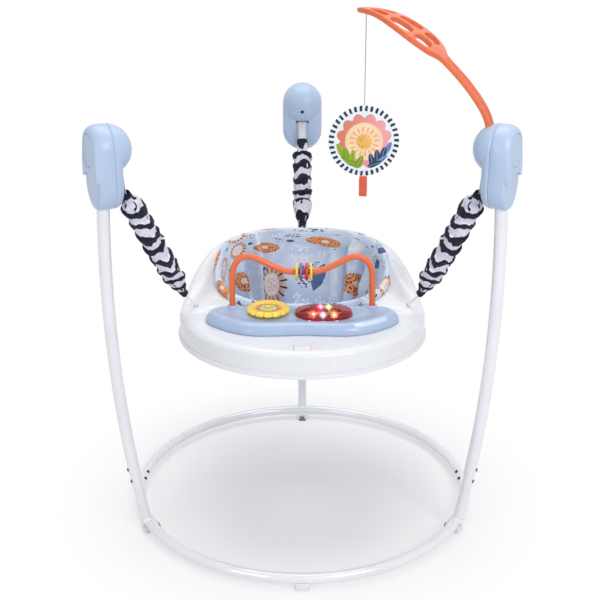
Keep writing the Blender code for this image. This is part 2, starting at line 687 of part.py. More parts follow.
def make_suspension(side):
    top = Vector(SLEEVE_TOP[side])
    end = Vector(SLEEVE_END[side])
    axis = (end - top).normalized()
    sleeve = turned("sleeve_" + side, sleeve_profile((end - top).length, GATHERS[side]), 12, STRIPED_CLOTH, STAND)
    aim(sleeve, top, -axis)
    points = spring_points(top, end, SPRING_CURLS[side])
    tube("spring_" + side, points, SPRING_WIRE_R, SPRING_STEEL, STAND, resolution=1)
    print("spring_" + side, "least gap to itself", round(1000 * least_gap(points[1:-1], SPRING_WIRE_R), 2), "mm")
    across = bay_point(side, 0, 1, 0)
    mouth = bay_point(side, 0.4060, 0, SLOT_Z - 0.0035)
    strap = [bay_point(side, 0.4270, 0, SLOT_Z), bay_point(side, 0.4110, 0, SLOT_Z), mouth,
             mouth + (top - mouth) * 0.3, top, top + axis * 0.026]
    strip("strap_" + side, strap, (0.0145, 0.0145, 0.0145, 0.0125, 0.0095, 0.0090), across, 0.0016, WEBBING, STAND)
    slot = Vector((*HOOK_SLOT[side], 0))
    deck = deck_height(slot.x, slot.y)
    outward = slot.normalized()
    hook = [end - axis * 0.014, end + axis * 0.004, slot + outward * 0.0060 + Vector((0, 0, deck + 0.0075)),
            slot + outward * 0.0012 + Vector((0, 0, deck + 0.0030)), slot + Vector((0, 0, deck - 0.0040)),
            slot + Vector((0, 0, deck - 0.0200))]
    strip("hook_" + side, hook, (0.0070, 0.0070, 0.0080, 0.0085, 0.0085, 0.0085),
          Vector((-outward.y, outward.x, 0)), 0.0024, WHITE_PLASTIC, STAND)


# Tray
def well_edge(angle):
    x, y = superellipse(angle, WELL_A, WELL_B, WELL_N)
    return x, WELL_Y + y


def inner_height(y):
    return TRAY_DECK_Z + 0.5 * max(0.0, y + 0.030)


def outer_height(angle):
    return TRAY_DECK_Z + TRAY_BACK_RISE * smoothstep(math.sin(angle) / TRAY_BACK_SINE)


def deck_point(share, angle):
    """The deck between the well's edge (share 0) and the outer rim (share 1), flat under the console."""
    x0, y0 = well_edge(angle)
    reach = TRAY_R - 0.016
    x1 = reach * math.cos(angle)
    y1 = reach * math.sin(angle)
    low = outer_height(angle)
    high = inner_height(y0)
    x = x0 + (x1 - x0) * share
    y = y0 + (y1 - y0) * share
    height = low + (high - low) * (1 - share) ** 1.6
    return Vector((x, y, min(height, TRAY_DECK_Z + max(0.0, y - RECESS_Y))))


def deck_height(x, y):
    """The deck's height at a place, found by walking over its shares and angles."""
    best = min((deck_point(share / 20, math.radians(angle)) for share in range(21) for angle in range(0, 360, 3)),
               key=lambda p: math.hypot(p.x - x, p.y - y))
    return best.z


def crease_share(angle):
    """The share of the deck's width at which its flat front begins, or a fixed share at the sides and back."""
    _, start = well_edge(angle)
    end = (TRAY_R - 0.016) * math.sin(angle)
    return min(0.6, (start - RECESS_Y) / max(start - end, 1e-6)) if end < RECESS_Y else 0.6


def tray_shape(row, angle, _height):
    """Rows from the well's skirt over the deck and the rounded rim to the flared lip."""
    row = round(row) - 1
    if row == 0:
        edge = deck_point(0, angle)
        return edge - Vector((0, 0, 0.028))
    if row <= 5:
        crease = crease_share(angle)
        return deck_point((0, crease / 2, crease, (1 + crease) / 2, 1)[row - 1], angle)
    rim = outer_height(angle)
    radius, height = ((TRAY_R - 0.0048, rim - 0.0036), (TRAY_R, rim - 0.0125), (TRAY_R, TRAY_WALL_Z),
                      (TRAY_R + TRAY_LIP_OUT, TRAY_LIP_Z))[row - 6]
    return Vector((radius * math.cos(angle), radius * math.sin(angle), height))


def make_tray():
    rows = [(i + 1, 0) for i in range(10)]
    tray = spun("tray", rows, 56, tray_shape, (0, 0, 1), WHITE_PLASTIC, STAND, skin=TRAY_SKIN)
    for side, (x, y) in HOOK_SLOT.items():
        angle = math.degrees(math.atan2(y, x))
        frame = empty("slot_frame_" + side, STAND, azimuth=angle)
        reach = math.hypot(x, y)
        deck = deck_height(x, y)
        slot = block("hook_slot_" + side, (reach - 0.0025, -0.0105, deck - 0.012),
                     (reach + 0.0040, 0.0105, deck + 0.012), WHITE_PLASTIC, frame)
        cut(tray, slot)
    window = block("latch_window", (-0.0175, -0.2625, 0.465), (0.0175, -0.2325, 0.490), WHITE_PLASTIC, STAND)
    cut(tray, window)
    block("front_latch", (-0.0175 + 2 * GAP, -0.2625 + 2 * GAP, TRAY_DECK_Z - 0.0045),
          (0.0175 - 2 * GAP, -0.2325 - 2 * GAP, TRAY_DECK_Z + 0.0006), WHITE_PLASTIC, STAND, bevel=0.002)


# Fabric seat
def rim_height(y):
    return RIM_Z + RIM_SLOPE * (y - RIM_Y)


def seat_shape(row, angle, _height):
    """Rows from the folded rim down the bucket to its floor, with the back's gathered folds."""
    levels = [(1.0, -0.026), (0.985, 0.0), (0.94, 0.022), (0.90, 0.15), (0.86, 0.34), (0.79, 0.58),
              (0.66, 0.82), (0.42, 0.97), (0.0, 1.0)]
    scale, drop = levels[8 - round(row)]
    fold = 0.0045 * math.sin(11 * angle) * max(0.0, math.sin(angle)) * 4 * max(drop, 0.0) * (1 - drop)
    x, y = superellipse(angle, RIM_A * scale + 1e-9, RIM_B * scale + 1e-9, WELL_N)
    x *= 1 + fold / RIM_A
    y *= 1 + fold / RIM_B
    _, rim_y = superellipse(angle, RIM_A, RIM_B, WELL_N)
    rim = rim_height(WELL_Y + rim_y)
    height = rim - abs(drop) * (rim - SEAT_FLOOR_Z)
    return Vector((x, WELL_Y + y, height))


def make_seat():
    rows = [(8 - i, 0) for i in range(9)]
    seat = spun("seat_fabric", rows, 32, seat_shape, (0, 0, -1), SEAT_CLOTH, STAND, skin=CLOTH)
    for side, way in (("left", -1), ("right", 1)):
        hole = cylinder("leg_hole_" + side, LEG_HOLE_R, 0.160, SEAT_CLOTH, STAND, 20)
        aim(hole, (way * 0.055, 0.050, 0.372), (way * 0.30, -0.80, -0.52))
        cut(seat, hole)


# Console and toys
def console_outline():
    """Half of the crescent from the middle of its back to the middle of its front, then its mirror."""
    half = [(0.060, -0.0530), (0.165, -0.0525), (0.1970, -0.0640), (0.2105, -0.0900), (0.2070, -0.1130),
            (0.1820, -0.1440), (0.1400, -0.1745), (0.1000, -0.1880), (0.0450, -0.1870)]
    loop = half + [(0, -0.1835)] + [(-x, y) for x, y in reversed(half)]
    return smooth_path([(x, y, 0) for x, y in loop], 2, closed=True)


def dome_edge(angle, grow):
    """A point of the light dome's outline on the console, moved outwards by grow."""
    x, y = superellipse(angle, DOME_HALF[0] + grow, DOME_HALF[1] + grow, DOME_POWER)
    return DOME_AT[0] + x, DOME_AT[1] + y - DOME_BULGE * (1 - (x / (DOME_HALF[0] + grow)) ** 2)


def slab_at(name, outline, low, thick):
    """An upright slab over a flat outline."""
    bm = bmesh.new()
    face = bm.faces.new([bm.verts.new((x, y, low)) for x, y in outline])
    drawn = bmesh.ops.extrude_face_region(bm, geom=[face])["geom"]
    bmesh.ops.translate(bm, verts=[v for v in drawn if isinstance(v, bmesh.types.BMVert)], vec=(0, 0, thick))
    bmesh.ops.recalc_face_normals(bm, faces=bm.faces)
    return mesh_part(name, bm, PALE_BLUE, STAND)


def make_console():
    """The crescent toy shelf: a broad round shoulder up to a dished floor, with a collar for each bar end
    and a well for the light dome."""
    bottom, top = CONSOLE_Z
    bm = bmesh.new()
    face = bm.faces.new([bm.verts.new((p.x, p.y, bottom)) for p in console_outline()])
    drawn = bmesh.ops.extrude_face_region(bm, geom=[face])["geom"]
    moved = [v for v in drawn if isinstance(v, bmesh.types.BMVert)]
    bmesh.ops.translate(bm, verts=moved, vec=(0, 0, CONSOLE_WALL))
    bmesh.ops.recalc_face_normals(bm, faces=bm.faces)
    bm.normal_update()
    lid = max(bm.faces, key=lambda f: f.calc_center_median().z + f.normal.z)
    shoulder = top - bottom - CONSOLE_WALL
    steps = 4
    for i in range(steps):
        start = math.pi / 2 * i / steps
        end = math.pi / 2 * (i + 1) / steps
        bmesh.ops.inset_region(bm, faces=[lid], thickness=shoulder * (math.cos(start) - math.cos(end)), depth=0)
        bmesh.ops.translate(bm, verts=list(lid.verts), vec=(0, 0, shoulder * (math.sin(end) - math.sin(start))))
    bmesh.ops.inset_region(bm, faces=[lid], thickness=0.004, depth=0)
    bmesh.ops.translate(bm, verts=list(lid.verts), vec=(0, 0, -CONSOLE_DISH))
    console = mesh_part("console", bm, PALE_BLUE, STAND)
    for side, way in (("left", -1), ("right", 1)):
        collar = cylinder("collar_" + side, COLLAR_R, 0.0092, PALE_BLUE, STAND, 18)
        aim(collar, (way * BAR_X, BAR_Y, CONSOLE_FLOOR_Z - 0.004), (0, 0, 1))
        join(console, collar)
        pocket = cylinder("bar_pocket_" + side, BAR_R + GAP, 0.030, PALE_BLUE, STAND, 16)
        aim(pocket, (way * BAR_X, BAR_Y, BAR_END_Z - GAP), (0, 0, 1))
        cut(console, pocket)
    outline = [dome_edge(2 * math.pi * i / 24, DOME_WELL_GAP) for i in range(24)]
    well = slab_at("dome_well", outline, DOME_WELL_Z, 0.020)
    cut(console, well)
    pin_hole = cylinder("axle_hole", AXLE_R + GAP, 0.020, PALE_BLUE, STAND, 12)
    aim(pin_hole, (*SPINNER_AT, CONSOLE_FLOOR_Z - 0.008), (0, 0, 1))
    cut(console, pin_hole)
    block("battery_box", (-0.062, -0.165, 0.4360), (0.062, -0.085, TRAY_DECK_Z - TRAY_SKIN - 2 * GAP),
          WHITE_PLASTIC, STAND, bevel=0.008)


def make_bead_bar():
    """An orange bar that rises to a hump over each end and dips in the middle, with four discs on it."""
    half = [(0, 0.5812), (0.033, 0.5828), (0.061, 0.5925), (0.088, 0.6060), (0.110, 0.6155), (0.129, 0.6145),
            (0.1430, 0.6045), (0.1515, 0.5860), (0.1540, 0.5600), (BAR_X, 0.5300), (BAR_X, BAR_END_Z)]
    path = [(-x, BAR_Y, z) for x, z in reversed(half[1:])] + [(x, BAR_Y, z) for x, z in half]
    tube("bead_bar", smooth_path(path, 2), BAR_R, ORANGE, STAND)
    beads = (("bead_disc_yellow_left", -0.0118, 0.0060, YELLOW_BEAD), ("bead_disc_purple", -0.0028, 0.0070, PURPLE_BEAD),
             ("bead_disc_red", 0.0098, 0.0080, RED_BEAD), ("bead_disc_yellow_right", 0.0192, 0.0060, YELLOW_BEAD))
    for name, x, thick, colour in beads:
        edge = thick * 0.3
        profile = [(BEAD_BORE_R, thick / 2), (BEAD_OUT_R - edge, thick / 2), (BEAD_OUT_R, thick / 2 - edge),
                   (BEAD_OUT_R, edge - thick / 2), (BEAD_OUT_R - edge, -thick / 2), (BEAD_BORE_R, -thick / 2)]
        aim(turned(name, profile, 18, colour, STAND), (x, BAR_Y, BEAD_Z), (1, 0, 0))


def make_spinner():
    """A scalloped wheel that turns on a capped pin in the console."""
    lobes = 14
    profile = [(0.0036, 0.0030), (0.0036, 0.0115), (0.0120, 0.0122), (0.0250, 0.0095), (0.0360, 0.0140),
               (0.0430, 0.0140), (SPINNER_R, 0.0095), (SPINNER_R, 0.0045), (0.0420, 0.0), (0.0120, 0.0),
               (0.0036, 0.0030)]

    def scallop(radius, angle, height):
        reach = radius
        if radius > 0.030:
            reach *= 1 - 0.055 * abs(math.sin(angle * lobes / 2))
        return Vector((reach * math.cos(angle), reach * math.sin(angle), height))

    wheel = spun("spinner", profile, lobes * 2, scallop, (0, 0, 1), YELLOW, STAND)
    wheel.location = (*SPINNER_AT, CONSOLE_FLOOR_Z + 0.0012)
    profile = [(0, 0.0166), (0.0045, 0.0158), (0.0065, 0.0138), (AXLE_R, 0.0138), (AXLE_R, -0.0060), (0, -0.0060)]
    aim(turned("spinner_axle", profile, 12, WHITE_PLASTIC, STAND), (*SPINNER_AT, CONSOLE_FLOOR_Z), (0, 0, 1))


def make_light_dome():
    """A clear press-down dome over a board with five lamps."""
    bottom, top = DOME_Z
    arc = [(math.sin(a), math.cos(a)) for a in (math.pi / 2 * i / 5 for i in range(6))]

    def bean(radius, angle, height):
        x, y = superellipse(angle, DOME_HALF[0], DOME_HALF[1], DOME_POWER)
        flat = height ** 0.75 if height > 0 else 0.0
        return Vector((x * radius, y * radius - DOME_BULGE * (1 - (x * radius / DOME_HALF[0]) ** 2),
                       (top - bottom) * flat))

    dome = spun("light_dome", arc, 24, bean, (0, 0, 1), RED_CLEAR, STAND, skin=0.0018)
    dome.location = (*DOME_AT, bottom)
    x, y = DOME_AT
    floor = DOME_WELL_Z + GAP
    board = block("light_board", (x - 0.040, y - 0.022, floor), (x + 0.040, y + 0.012, floor + 0.0016), BOARD,
                  STAND, bevel=0.004)
    lamps = ((-0.030, -0.014), (0.0, -0.016), (0.028, -0.014), (-0.012, 0.006), (0.014, 0.006))
    for index, (dx, dy) in enumerate(lamps):
        lamp = cylinder("lamp_%d" % index, 0.0025, 0.0030, BOARD, STAND, 8)
        aim(lamp, (x + dx, y + dy, floor + 0.0010), (0, 0, 1))
        join(board, lamp)


# Leaf arm and mobile
def make_leaf_arm():
    """One sheet along the arm's path: a plain stem that widens into a drooping leaf, pierced beside its
    midrib and between its side ribs, then thickened and smoothed."""
    columns = (-1.0, -0.72, -0.14, 0.14, 0.72, 1.0)
    places = [Vector((radius, 0, height)) for radius, height in ARM_PATH]
    runs = [(b - a).length for a, b in zip(places, places[1:])]
    leaf_run = sum(runs[LEAF_START:])
    last = len(places) - 1
    bm = bmesh.new()
    rows = []
    for i, place in enumerate(places):
        lean = (places[min(i + 1, last)] - places[max(i - 1, 0)]).normalized()
        under = Vector((lean.z, 0, -lean.x)) * (1 if lean.x > 0 else -1)
        half = STEM_HALF + STEM_FLARE * max(0.0, 1 - i / 3)
        sag = 0.0
        if i > LEAF_START:
            share = sum(runs[LEAF_START:i]) / leaf_run
            leaf = math.sqrt(min(1.0, share / 0.14) * (1 - share))
            half = max(0.0045, LEAF_HALF * 1.08 * leaf)
            sag = LEAF_DROOP * leaf
        row = [place + under * (sag * column * column) + Vector((0, column * half, 0)) for column in columns]
        rows.append([bm.verts.new(point) for point in row])
    pierced_rows = (9, 10, 11, 12, 13, 14)
    ribs = (11, 13)
    for i in range(last):
        for k in range(len(columns) - 1):
            if i in pierced_rows and i not in ribs and k in (1, 3):
                continue
            bm.faces.new((rows[i][k], rows[i][k + 1], rows[i + 1][k + 1], rows[i + 1][k]))
    arm = mesh_part("leaf_arm", bm, ORANGE, BAYS["right"], sharp=60)
    wall = arm.modifiers.new("thickness", "SOLIDIFY")
    wall.thickness = ARM_THICK
    wall.offset = 0
    return arm


def make_mobile():
    """A soft disc on a cord from the leaf's tip, with a folded ribbon below; each origin is on its joint."""
    x, y, z = CORD_TOP
    disc_top = DISC_Z + DISC_R
    swing = empty("mobile_swing", STAND, location=CORD_TOP)
    length = z - disc_top - 2 * GAP
    count = 20
    tube("mobile_cord", [(0, 0, -GAP - length * i / (count - 1)) for i in range(count)], CORD_R, CORD, swing)
    profile = [(0, DISC_HALF_THICK)]
    for share in (0.55, 0.80, 0.93, 1.0):
        profile.append((DISC_R * share, DISC_HALF_THICK * max(0.28, math.sqrt(1 - share ** 3))))
    profile += [(radius, -height) for radius, height in reversed(profile)]
    disc = turned("mobile_disc", profile, 30, DISC_CLOTH, STAND)
    aim(disc, (x, y, DISC_Z), (0, -1, 0))
    low = DISC_Z - DISC_R - 3 * GAP
    ribbon = block("mobile_ribbon", (-RIBBON_HALF, -0.0016, -RIBBON_DROP), (RIBBON_HALF, 0.0016, 0), RIBBON, STAND)
    ribbon.location = (x, y, low)


make_ring()
make_upper_legs()
make_feet()
make_towers()
make_tray()
make_seat()
make_console()
make_bead_bar()
make_spinner()
make_light_dome()
for bay_side in BAYS:
    make_suspension(bay_side)
make_leaf_arm()
make_mobile()
print("nodes", sum(1 for obj in PARTS.objects if obj.type != "EMPTY"))
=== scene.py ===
# %% [markdown]
# # A baby activity jumper, finished for the camera
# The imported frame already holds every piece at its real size. This notebook gives each one the surface
# that a moulder, a tube bender and a seamstress would give it, and keeps every piece on the body that
# carries it, so that the tray can still bounce. Each step first says what the piece is, then makes it. The
# ring's middle is where everything is measured from, and it lies FOOT_REACH behind the front foot's toe.

import json
import math

import bmesh
import bpy
from mathutils import Matrix, Vector, noise
from mathutils.bvhtree import BVHTree

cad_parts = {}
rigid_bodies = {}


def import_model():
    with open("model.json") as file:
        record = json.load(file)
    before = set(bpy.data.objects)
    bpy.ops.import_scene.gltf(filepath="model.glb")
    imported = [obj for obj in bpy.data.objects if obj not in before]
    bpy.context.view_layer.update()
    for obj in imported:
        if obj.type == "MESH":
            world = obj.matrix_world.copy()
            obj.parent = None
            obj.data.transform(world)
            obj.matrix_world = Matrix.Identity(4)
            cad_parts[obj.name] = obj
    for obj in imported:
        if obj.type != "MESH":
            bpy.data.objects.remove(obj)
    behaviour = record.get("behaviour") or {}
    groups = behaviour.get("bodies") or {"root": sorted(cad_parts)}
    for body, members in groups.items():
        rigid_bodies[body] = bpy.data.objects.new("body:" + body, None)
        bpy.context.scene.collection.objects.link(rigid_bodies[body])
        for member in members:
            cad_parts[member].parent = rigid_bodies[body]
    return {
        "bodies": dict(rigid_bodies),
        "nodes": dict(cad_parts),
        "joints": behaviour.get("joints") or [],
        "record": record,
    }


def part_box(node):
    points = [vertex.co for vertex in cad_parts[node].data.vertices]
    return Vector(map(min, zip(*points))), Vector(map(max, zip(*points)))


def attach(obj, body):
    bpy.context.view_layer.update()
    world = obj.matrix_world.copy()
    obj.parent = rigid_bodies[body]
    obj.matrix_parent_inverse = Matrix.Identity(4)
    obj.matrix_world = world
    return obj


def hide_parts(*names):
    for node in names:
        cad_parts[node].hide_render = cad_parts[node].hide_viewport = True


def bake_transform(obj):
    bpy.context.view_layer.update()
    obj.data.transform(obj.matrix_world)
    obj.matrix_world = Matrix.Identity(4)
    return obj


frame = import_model()
scene = bpy.context.scene
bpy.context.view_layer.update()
FOOT_REACH = 0.4040
CENTRE = Vector((0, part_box("foot_front")[0].y + FOOT_REACH, 0))

# %% [markdown]
# ## The camera
# The photo was taken from about chest height, two metres in front of the toy. The camera is fitted to the
# ring's ellipse and to the three equal towers. A small lens shift keeps the toy where the photo has it.

# %% Camera
CAMERA_BACK = 2.075
CAMERA_HIGH = 1.234
CAMERA_DOWN = 18.65
LENS = 57.846
LENS_SHIFT = (-0.0038, -0.0295)
camera = bpy.data.objects.new("camera", bpy.data.cameras.new("camera"))
scene.collection.objects.link(camera)
camera.location = CENTRE + Vector((0, -CAMERA_BACK, CAMERA_HIGH))
camera.rotation_euler = (math.radians(90 - CAMERA_DOWN), 0, 0)
camera.data.sensor_width = 36
camera.data.lens = LENS
camera.data.shift_x, camera.data.shift_y = LENS_SHIFT
scene.camera = camera
print("camera at", tuple(round(v, 3) for v in camera.location))

# %% [markdown]
# ## Helpers for shapes
# Four ways of shaping cover almost everything here. A profile is spun round an axis for turned pieces. A
# flat grid is wrapped into a moulded or sewn form, which keeps the grid's own UV map for prints and
# weaves. A round bar follows a curve. A copy of a frame node gets its edges rounded, where the node's
# shape is right and only its sharp facets are not.

# %% Finish a bmesh as a piece
def smooth(mesh, sharp=40):
    mesh.shade_smooth()
    mesh.set_sharp_from_angle(angle=math.radians(sharp))


def moved(bm, matrix):
    bmesh.ops.transform(bm, matrix=matrix, verts=bm.verts)
    return bm


def rotated(bm, degrees, axis):
    turn = Matrix.Rotation(math.radians(degrees), 3, axis)
    bmesh.ops.rotate(bm, verts=bm.verts, cent=(0, 0, 0), matrix=turn)
    return bm


def new_object(name, bm):
    """An object at the origin with the bmesh as its mesh."""
    mesh = bpy.data.meshes.new(name)
    bm.to_mesh(mesh)
    bm.free()
    made = bpy.data.objects.new(name, mesh)
    scene.collection.objects.link(made)
    return made


def piece(name, bm, material, body, replaces=(), at=None, sharp=40):
    """Turns a bmesh into a piece that rides on a body. at places it; its object stays at the origin.

    Blender adds .001 to a name that it has already."""
    made = new_object(name, bm if at is None else moved(bm, at))
    smooth(made.data, sharp)
    made.data.materials.append(material)
    if body:
        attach(made, body)
    if replaces:
        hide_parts(*replaces)
    return made


def close_up(bm, dist=1e-6):
    """Welds seams and poles and turns all faces outwards."""
    bmesh.ops.remove_doubles(bm, verts=bm.verts, dist=dist)
    flat = [f for f in bm.faces if f.calc_area() < 1e-12]
    bmesh.ops.delete(bm, geom=flat, context="FACES_ONLY")
    bmesh.ops.recalc_face_normals(bm, faces=bm.faces)
    return bm


def turned(profile, steps=48, axis="Z"):
    """A profile of (radius, height) points spun round the axis."""
    bm = bmesh.new()
    verts = [bm.verts.new((radius, 0, height)) for radius, height in profile]
    edges = [bm.edges.new(pair) for pair in zip(verts, verts[1:])]
    bmesh.ops.spin(bm, geom=verts + edges, cent=(0, 0, 0), axis=(0, 0, 1), angle=2 * math.pi,
                   steps=steps, use_merge=True)
    close_up(bm)
    return rotated(bm, 90, "Y") if axis == "X" else bm


def plug(radius, low, high):
    return turned([(0, high), (radius, high), (radius, low), (0, low)], 32)


def wrap(columns, rows, place, welded=True):
    """A flat grid with a UV map whose points move to place(u, v), u round and v along, each from 0 to 1."""
    bm = bmesh.new()
    bm.loops.layers.uv.new("UVMap")
    bmesh.ops.create_grid(bm, x_segments=columns, y_segments=rows, size=0.5,
                          matrix=Matrix.Translation((0.5, 0.5, 0)), calc_uvs=True)
    for vert in bm.verts:
        vert.co = place(vert.co.x, vert.co.y)
    if welded:
        close_up(bm)
    return bm


def shut(bm):
    """Closes every open rim with a face."""
    bmesh.ops.holes_fill(bm, edges=[e for e in bm.edges if e.is_boundary], sides=0)
    bmesh.ops.recalc_face_normals(bm, faces=bm.faces)
    return bm


def along(points):
    """Frames along a path: each turns from the one before by the least rotation."""
    places = [Vector(p) for p in points]
    last = len(places) - 1
    tangents = [(places[min(i + 1, last)] - places[max(i - 1, 0)]).normalized() for i in range(last + 1)]
    side = tangents[0].orthogonal().normalized()
    frames = []
    for i, place in enumerate(places):
        if i:
            side = tangents[i - 1].rotation_difference(tangents[i]) @ side
        up = tangents[i].cross(side).normalized()
        frames.append(Matrix((side, up, tangents[i])).transposed().to_4x4())
        frames[-1].translation = place
    return frames


def eased(bm, edges, offset, segments=3, clamp=False):
    """Rounds the edges."""
    bmesh.ops.bevel(bm, geom=edges, offset=offset, segments=segments, affect="EDGES", profile=0.5,
                    material=-1, clamp_overlap=clamp)


def bar(points, radius, sides=24, round_end=0.0):
    """A round bar along the points, with capped and slightly rounded ends."""
    rings = [frame @ Matrix.Scale(radius, 4) for frame in along(points)]
    bm = bmesh.new()
    bmesh.ops.create_circle(bm, cap_ends=False, radius=1, segments=sides)
    moved(bm, rings[0])
    first = ring = list(bm.edges)
    for before, after in zip(rings, rings[1:]):
        drawn = bmesh.ops.extrude_edge_only(bm, edges=ring)["geom"]
        ring = [g for g in drawn if isinstance(g, bmesh.types.BMEdge)]
        verts = [g for g in drawn if isinstance(g, bmesh.types.BMVert)]
        bmesh.ops.transform(bm, matrix=after @ before.inverted(), verts=verts)
    caps = [face for rim in (first, ring) for face in bmesh.ops.contextual_create(bm, geom=rim)["faces"]]
    bmesh.ops.recalc_face_normals(bm, faces=bm.faces)
    if round_end:
        eased(bm, [e for face in caps for e in face.edges], round_end)
    return bm


def curved(points, steps, closed=False):
    """Points on a smooth curve through the given ones."""
    places = [Vector(p) for p in points]
    count = len(places)
    result = []
    for i in range(count if closed else count - 1):
        if closed:
            p0, p1, p2, p3 = (places[(i + k) % count] for k in (-1, 0, 1, 2))
        else:
            p1, p2 = places[i], places[i + 1]
            p0 = places[i - 1] if i else p1 * 2 - p2
            p3 = places[i + 2] if i + 2 < count else p2 * 2 - p1
        for k in range(steps):
            t = k / steps
            result.append(0.5 * (2 * p1 + (p2 - p0) * t + (2 * p0 - 5 * p1 + 4 * p2 - p3) * t * t
                                 + (3 * p1 - p0 - 3 * p2 + p3) * t ** 3))
    return result if closed else result + [places[-1]]


def softened(name, node, material, body, radius):
    """A copy of a frame node, welded, with its hard edges rounded."""
    bm = bmesh.new()
    bm.from_mesh(frame["nodes"][node].data)
    bmesh.ops.remove_doubles(bm, verts=bm.verts, dist=1e-6)
    bmesh.ops.dissolve_limit(bm, angle_limit=math.radians(2), verts=bm.verts, edges=bm.edges)
    bmesh.ops.recalc_face_normals(bm, faces=bm.faces)
    hard = [e for e in bm.edges if len(e.link_faces) == 2 and e.calc_face_angle(0) > math.radians(30)]
    eased(bm, hard, radius, clamp=True)
    return piece(name, bm, material, body, (node,))


def settled(obj):
    """Replaces an object's mesh by its evaluated one, so that nothing live stays on it."""
    graph = bpy.context.evaluated_depsgraph_get()
    mesh = bpy.data.meshes.new_from_object(obj.evaluated_get(graph), depsgraph=graph)
    obj.modifiers.clear()
    obj.data = mesh
    return obj


def thickened(obj, thickness, offset, sharp):
    """Gives cloth its thickness: offset 1 is outwards, -1 inwards."""
    wall = obj.modifiers.new("cloth", "SOLIDIFY")
    wall.thickness = thickness
    wall.offset = offset
    smooth(settled(obj).data, sharp)


def smoothstep(value):
    t = min(1.0, max(0.0, value))
    return t * t * (3 - 2 * t)


SIDES = {"left": 207.3, "right": -27.3, "rear": 90.0}
HOME = Matrix.Translation(CENTRE)
BAY = {side: HOME @ Matrix.Rotation(math.radians(angle), 4, "Z") for side, angle in SIDES.items()}
print("helpers ready for", len(SIDES), "bays")

# %% [markdown]
# ## Helpers for materials
# Every finish is a small node tree: a colour that varies a little, a roughness that is never quite even
# and a fine bump. The helpers below wire one node to the next, so that a finish reads as a short recipe: a
# node's output can be added to, multiplied and compared like a number.

# %% Node helpers
def reckoned(operation, mirrored=False):
    """A method that reckons a value with a number or another value, or as a vector with a tuple."""
    def method(self, other):
        kind = "VectorMath" if isinstance(other, tuple) else "Math"
        pair = (other, self) if mirrored else (self, other)
        return self.recipe.node(kind, 0, {"operation": operation}, pair)
    return method


class Value:
    """A node's output. It can be reckoned with and compared like a number, and each step adds a node."""

    def __init__(self, recipe, socket):
        self.recipe = recipe
        self.socket = socket

    def also(self, name):
        """Another output of the same node."""
        return Value(self.recipe, self.socket.node.outputs[name])

    def __abs__(self):
        return self.recipe.math("ABSOLUTE", self)

    __add__, __radd__ = reckoned("ADD"), reckoned("ADD", True)
    __sub__, __rsub__ = reckoned("SUBTRACT"), reckoned("SUBTRACT", True)
    __mul__, __truediv__ = reckoned("MULTIPLY"), reckoned("DIVIDE")
    __lt__, __gt__ = reckoned("LESS_THAN"), reckoned("GREATER_THAN")


class Recipe:
    """A node tree with helpers that add a node and wire its inputs by name or number."""

    def __init__(self, tree):
        self.tree = tree

    def feed(self, socket, value):
        if isinstance(value, Value):
            self.tree.links.new(value.socket, socket)
        elif value is not None:
            socket.default_value = value

    def set(self, node, **values):
        for key, value in values.items():
            self.feed(node.inputs[key.replace("_", " ")], value)

    def node(self, kind, out=0, props=None, links=(), **values):
        made = self.tree.nodes.new("ShaderNode" + kind)
        for key, value in (props or {}).items():
            setattr(made, key, value)
        for index, value in enumerate(links):
            self.feed(made.inputs[index], value)
        self.set(made, **values)
        return Value(self, made.outputs[out])

    def math(self, operation, *values):
        return self.node("Math", 0, {"operation": operation}, values)

    def vector_math(self, operation, *values, out=0, **sockets):
        return self.node("VectorMath", out, {"operation": operation}, values, **sockets)


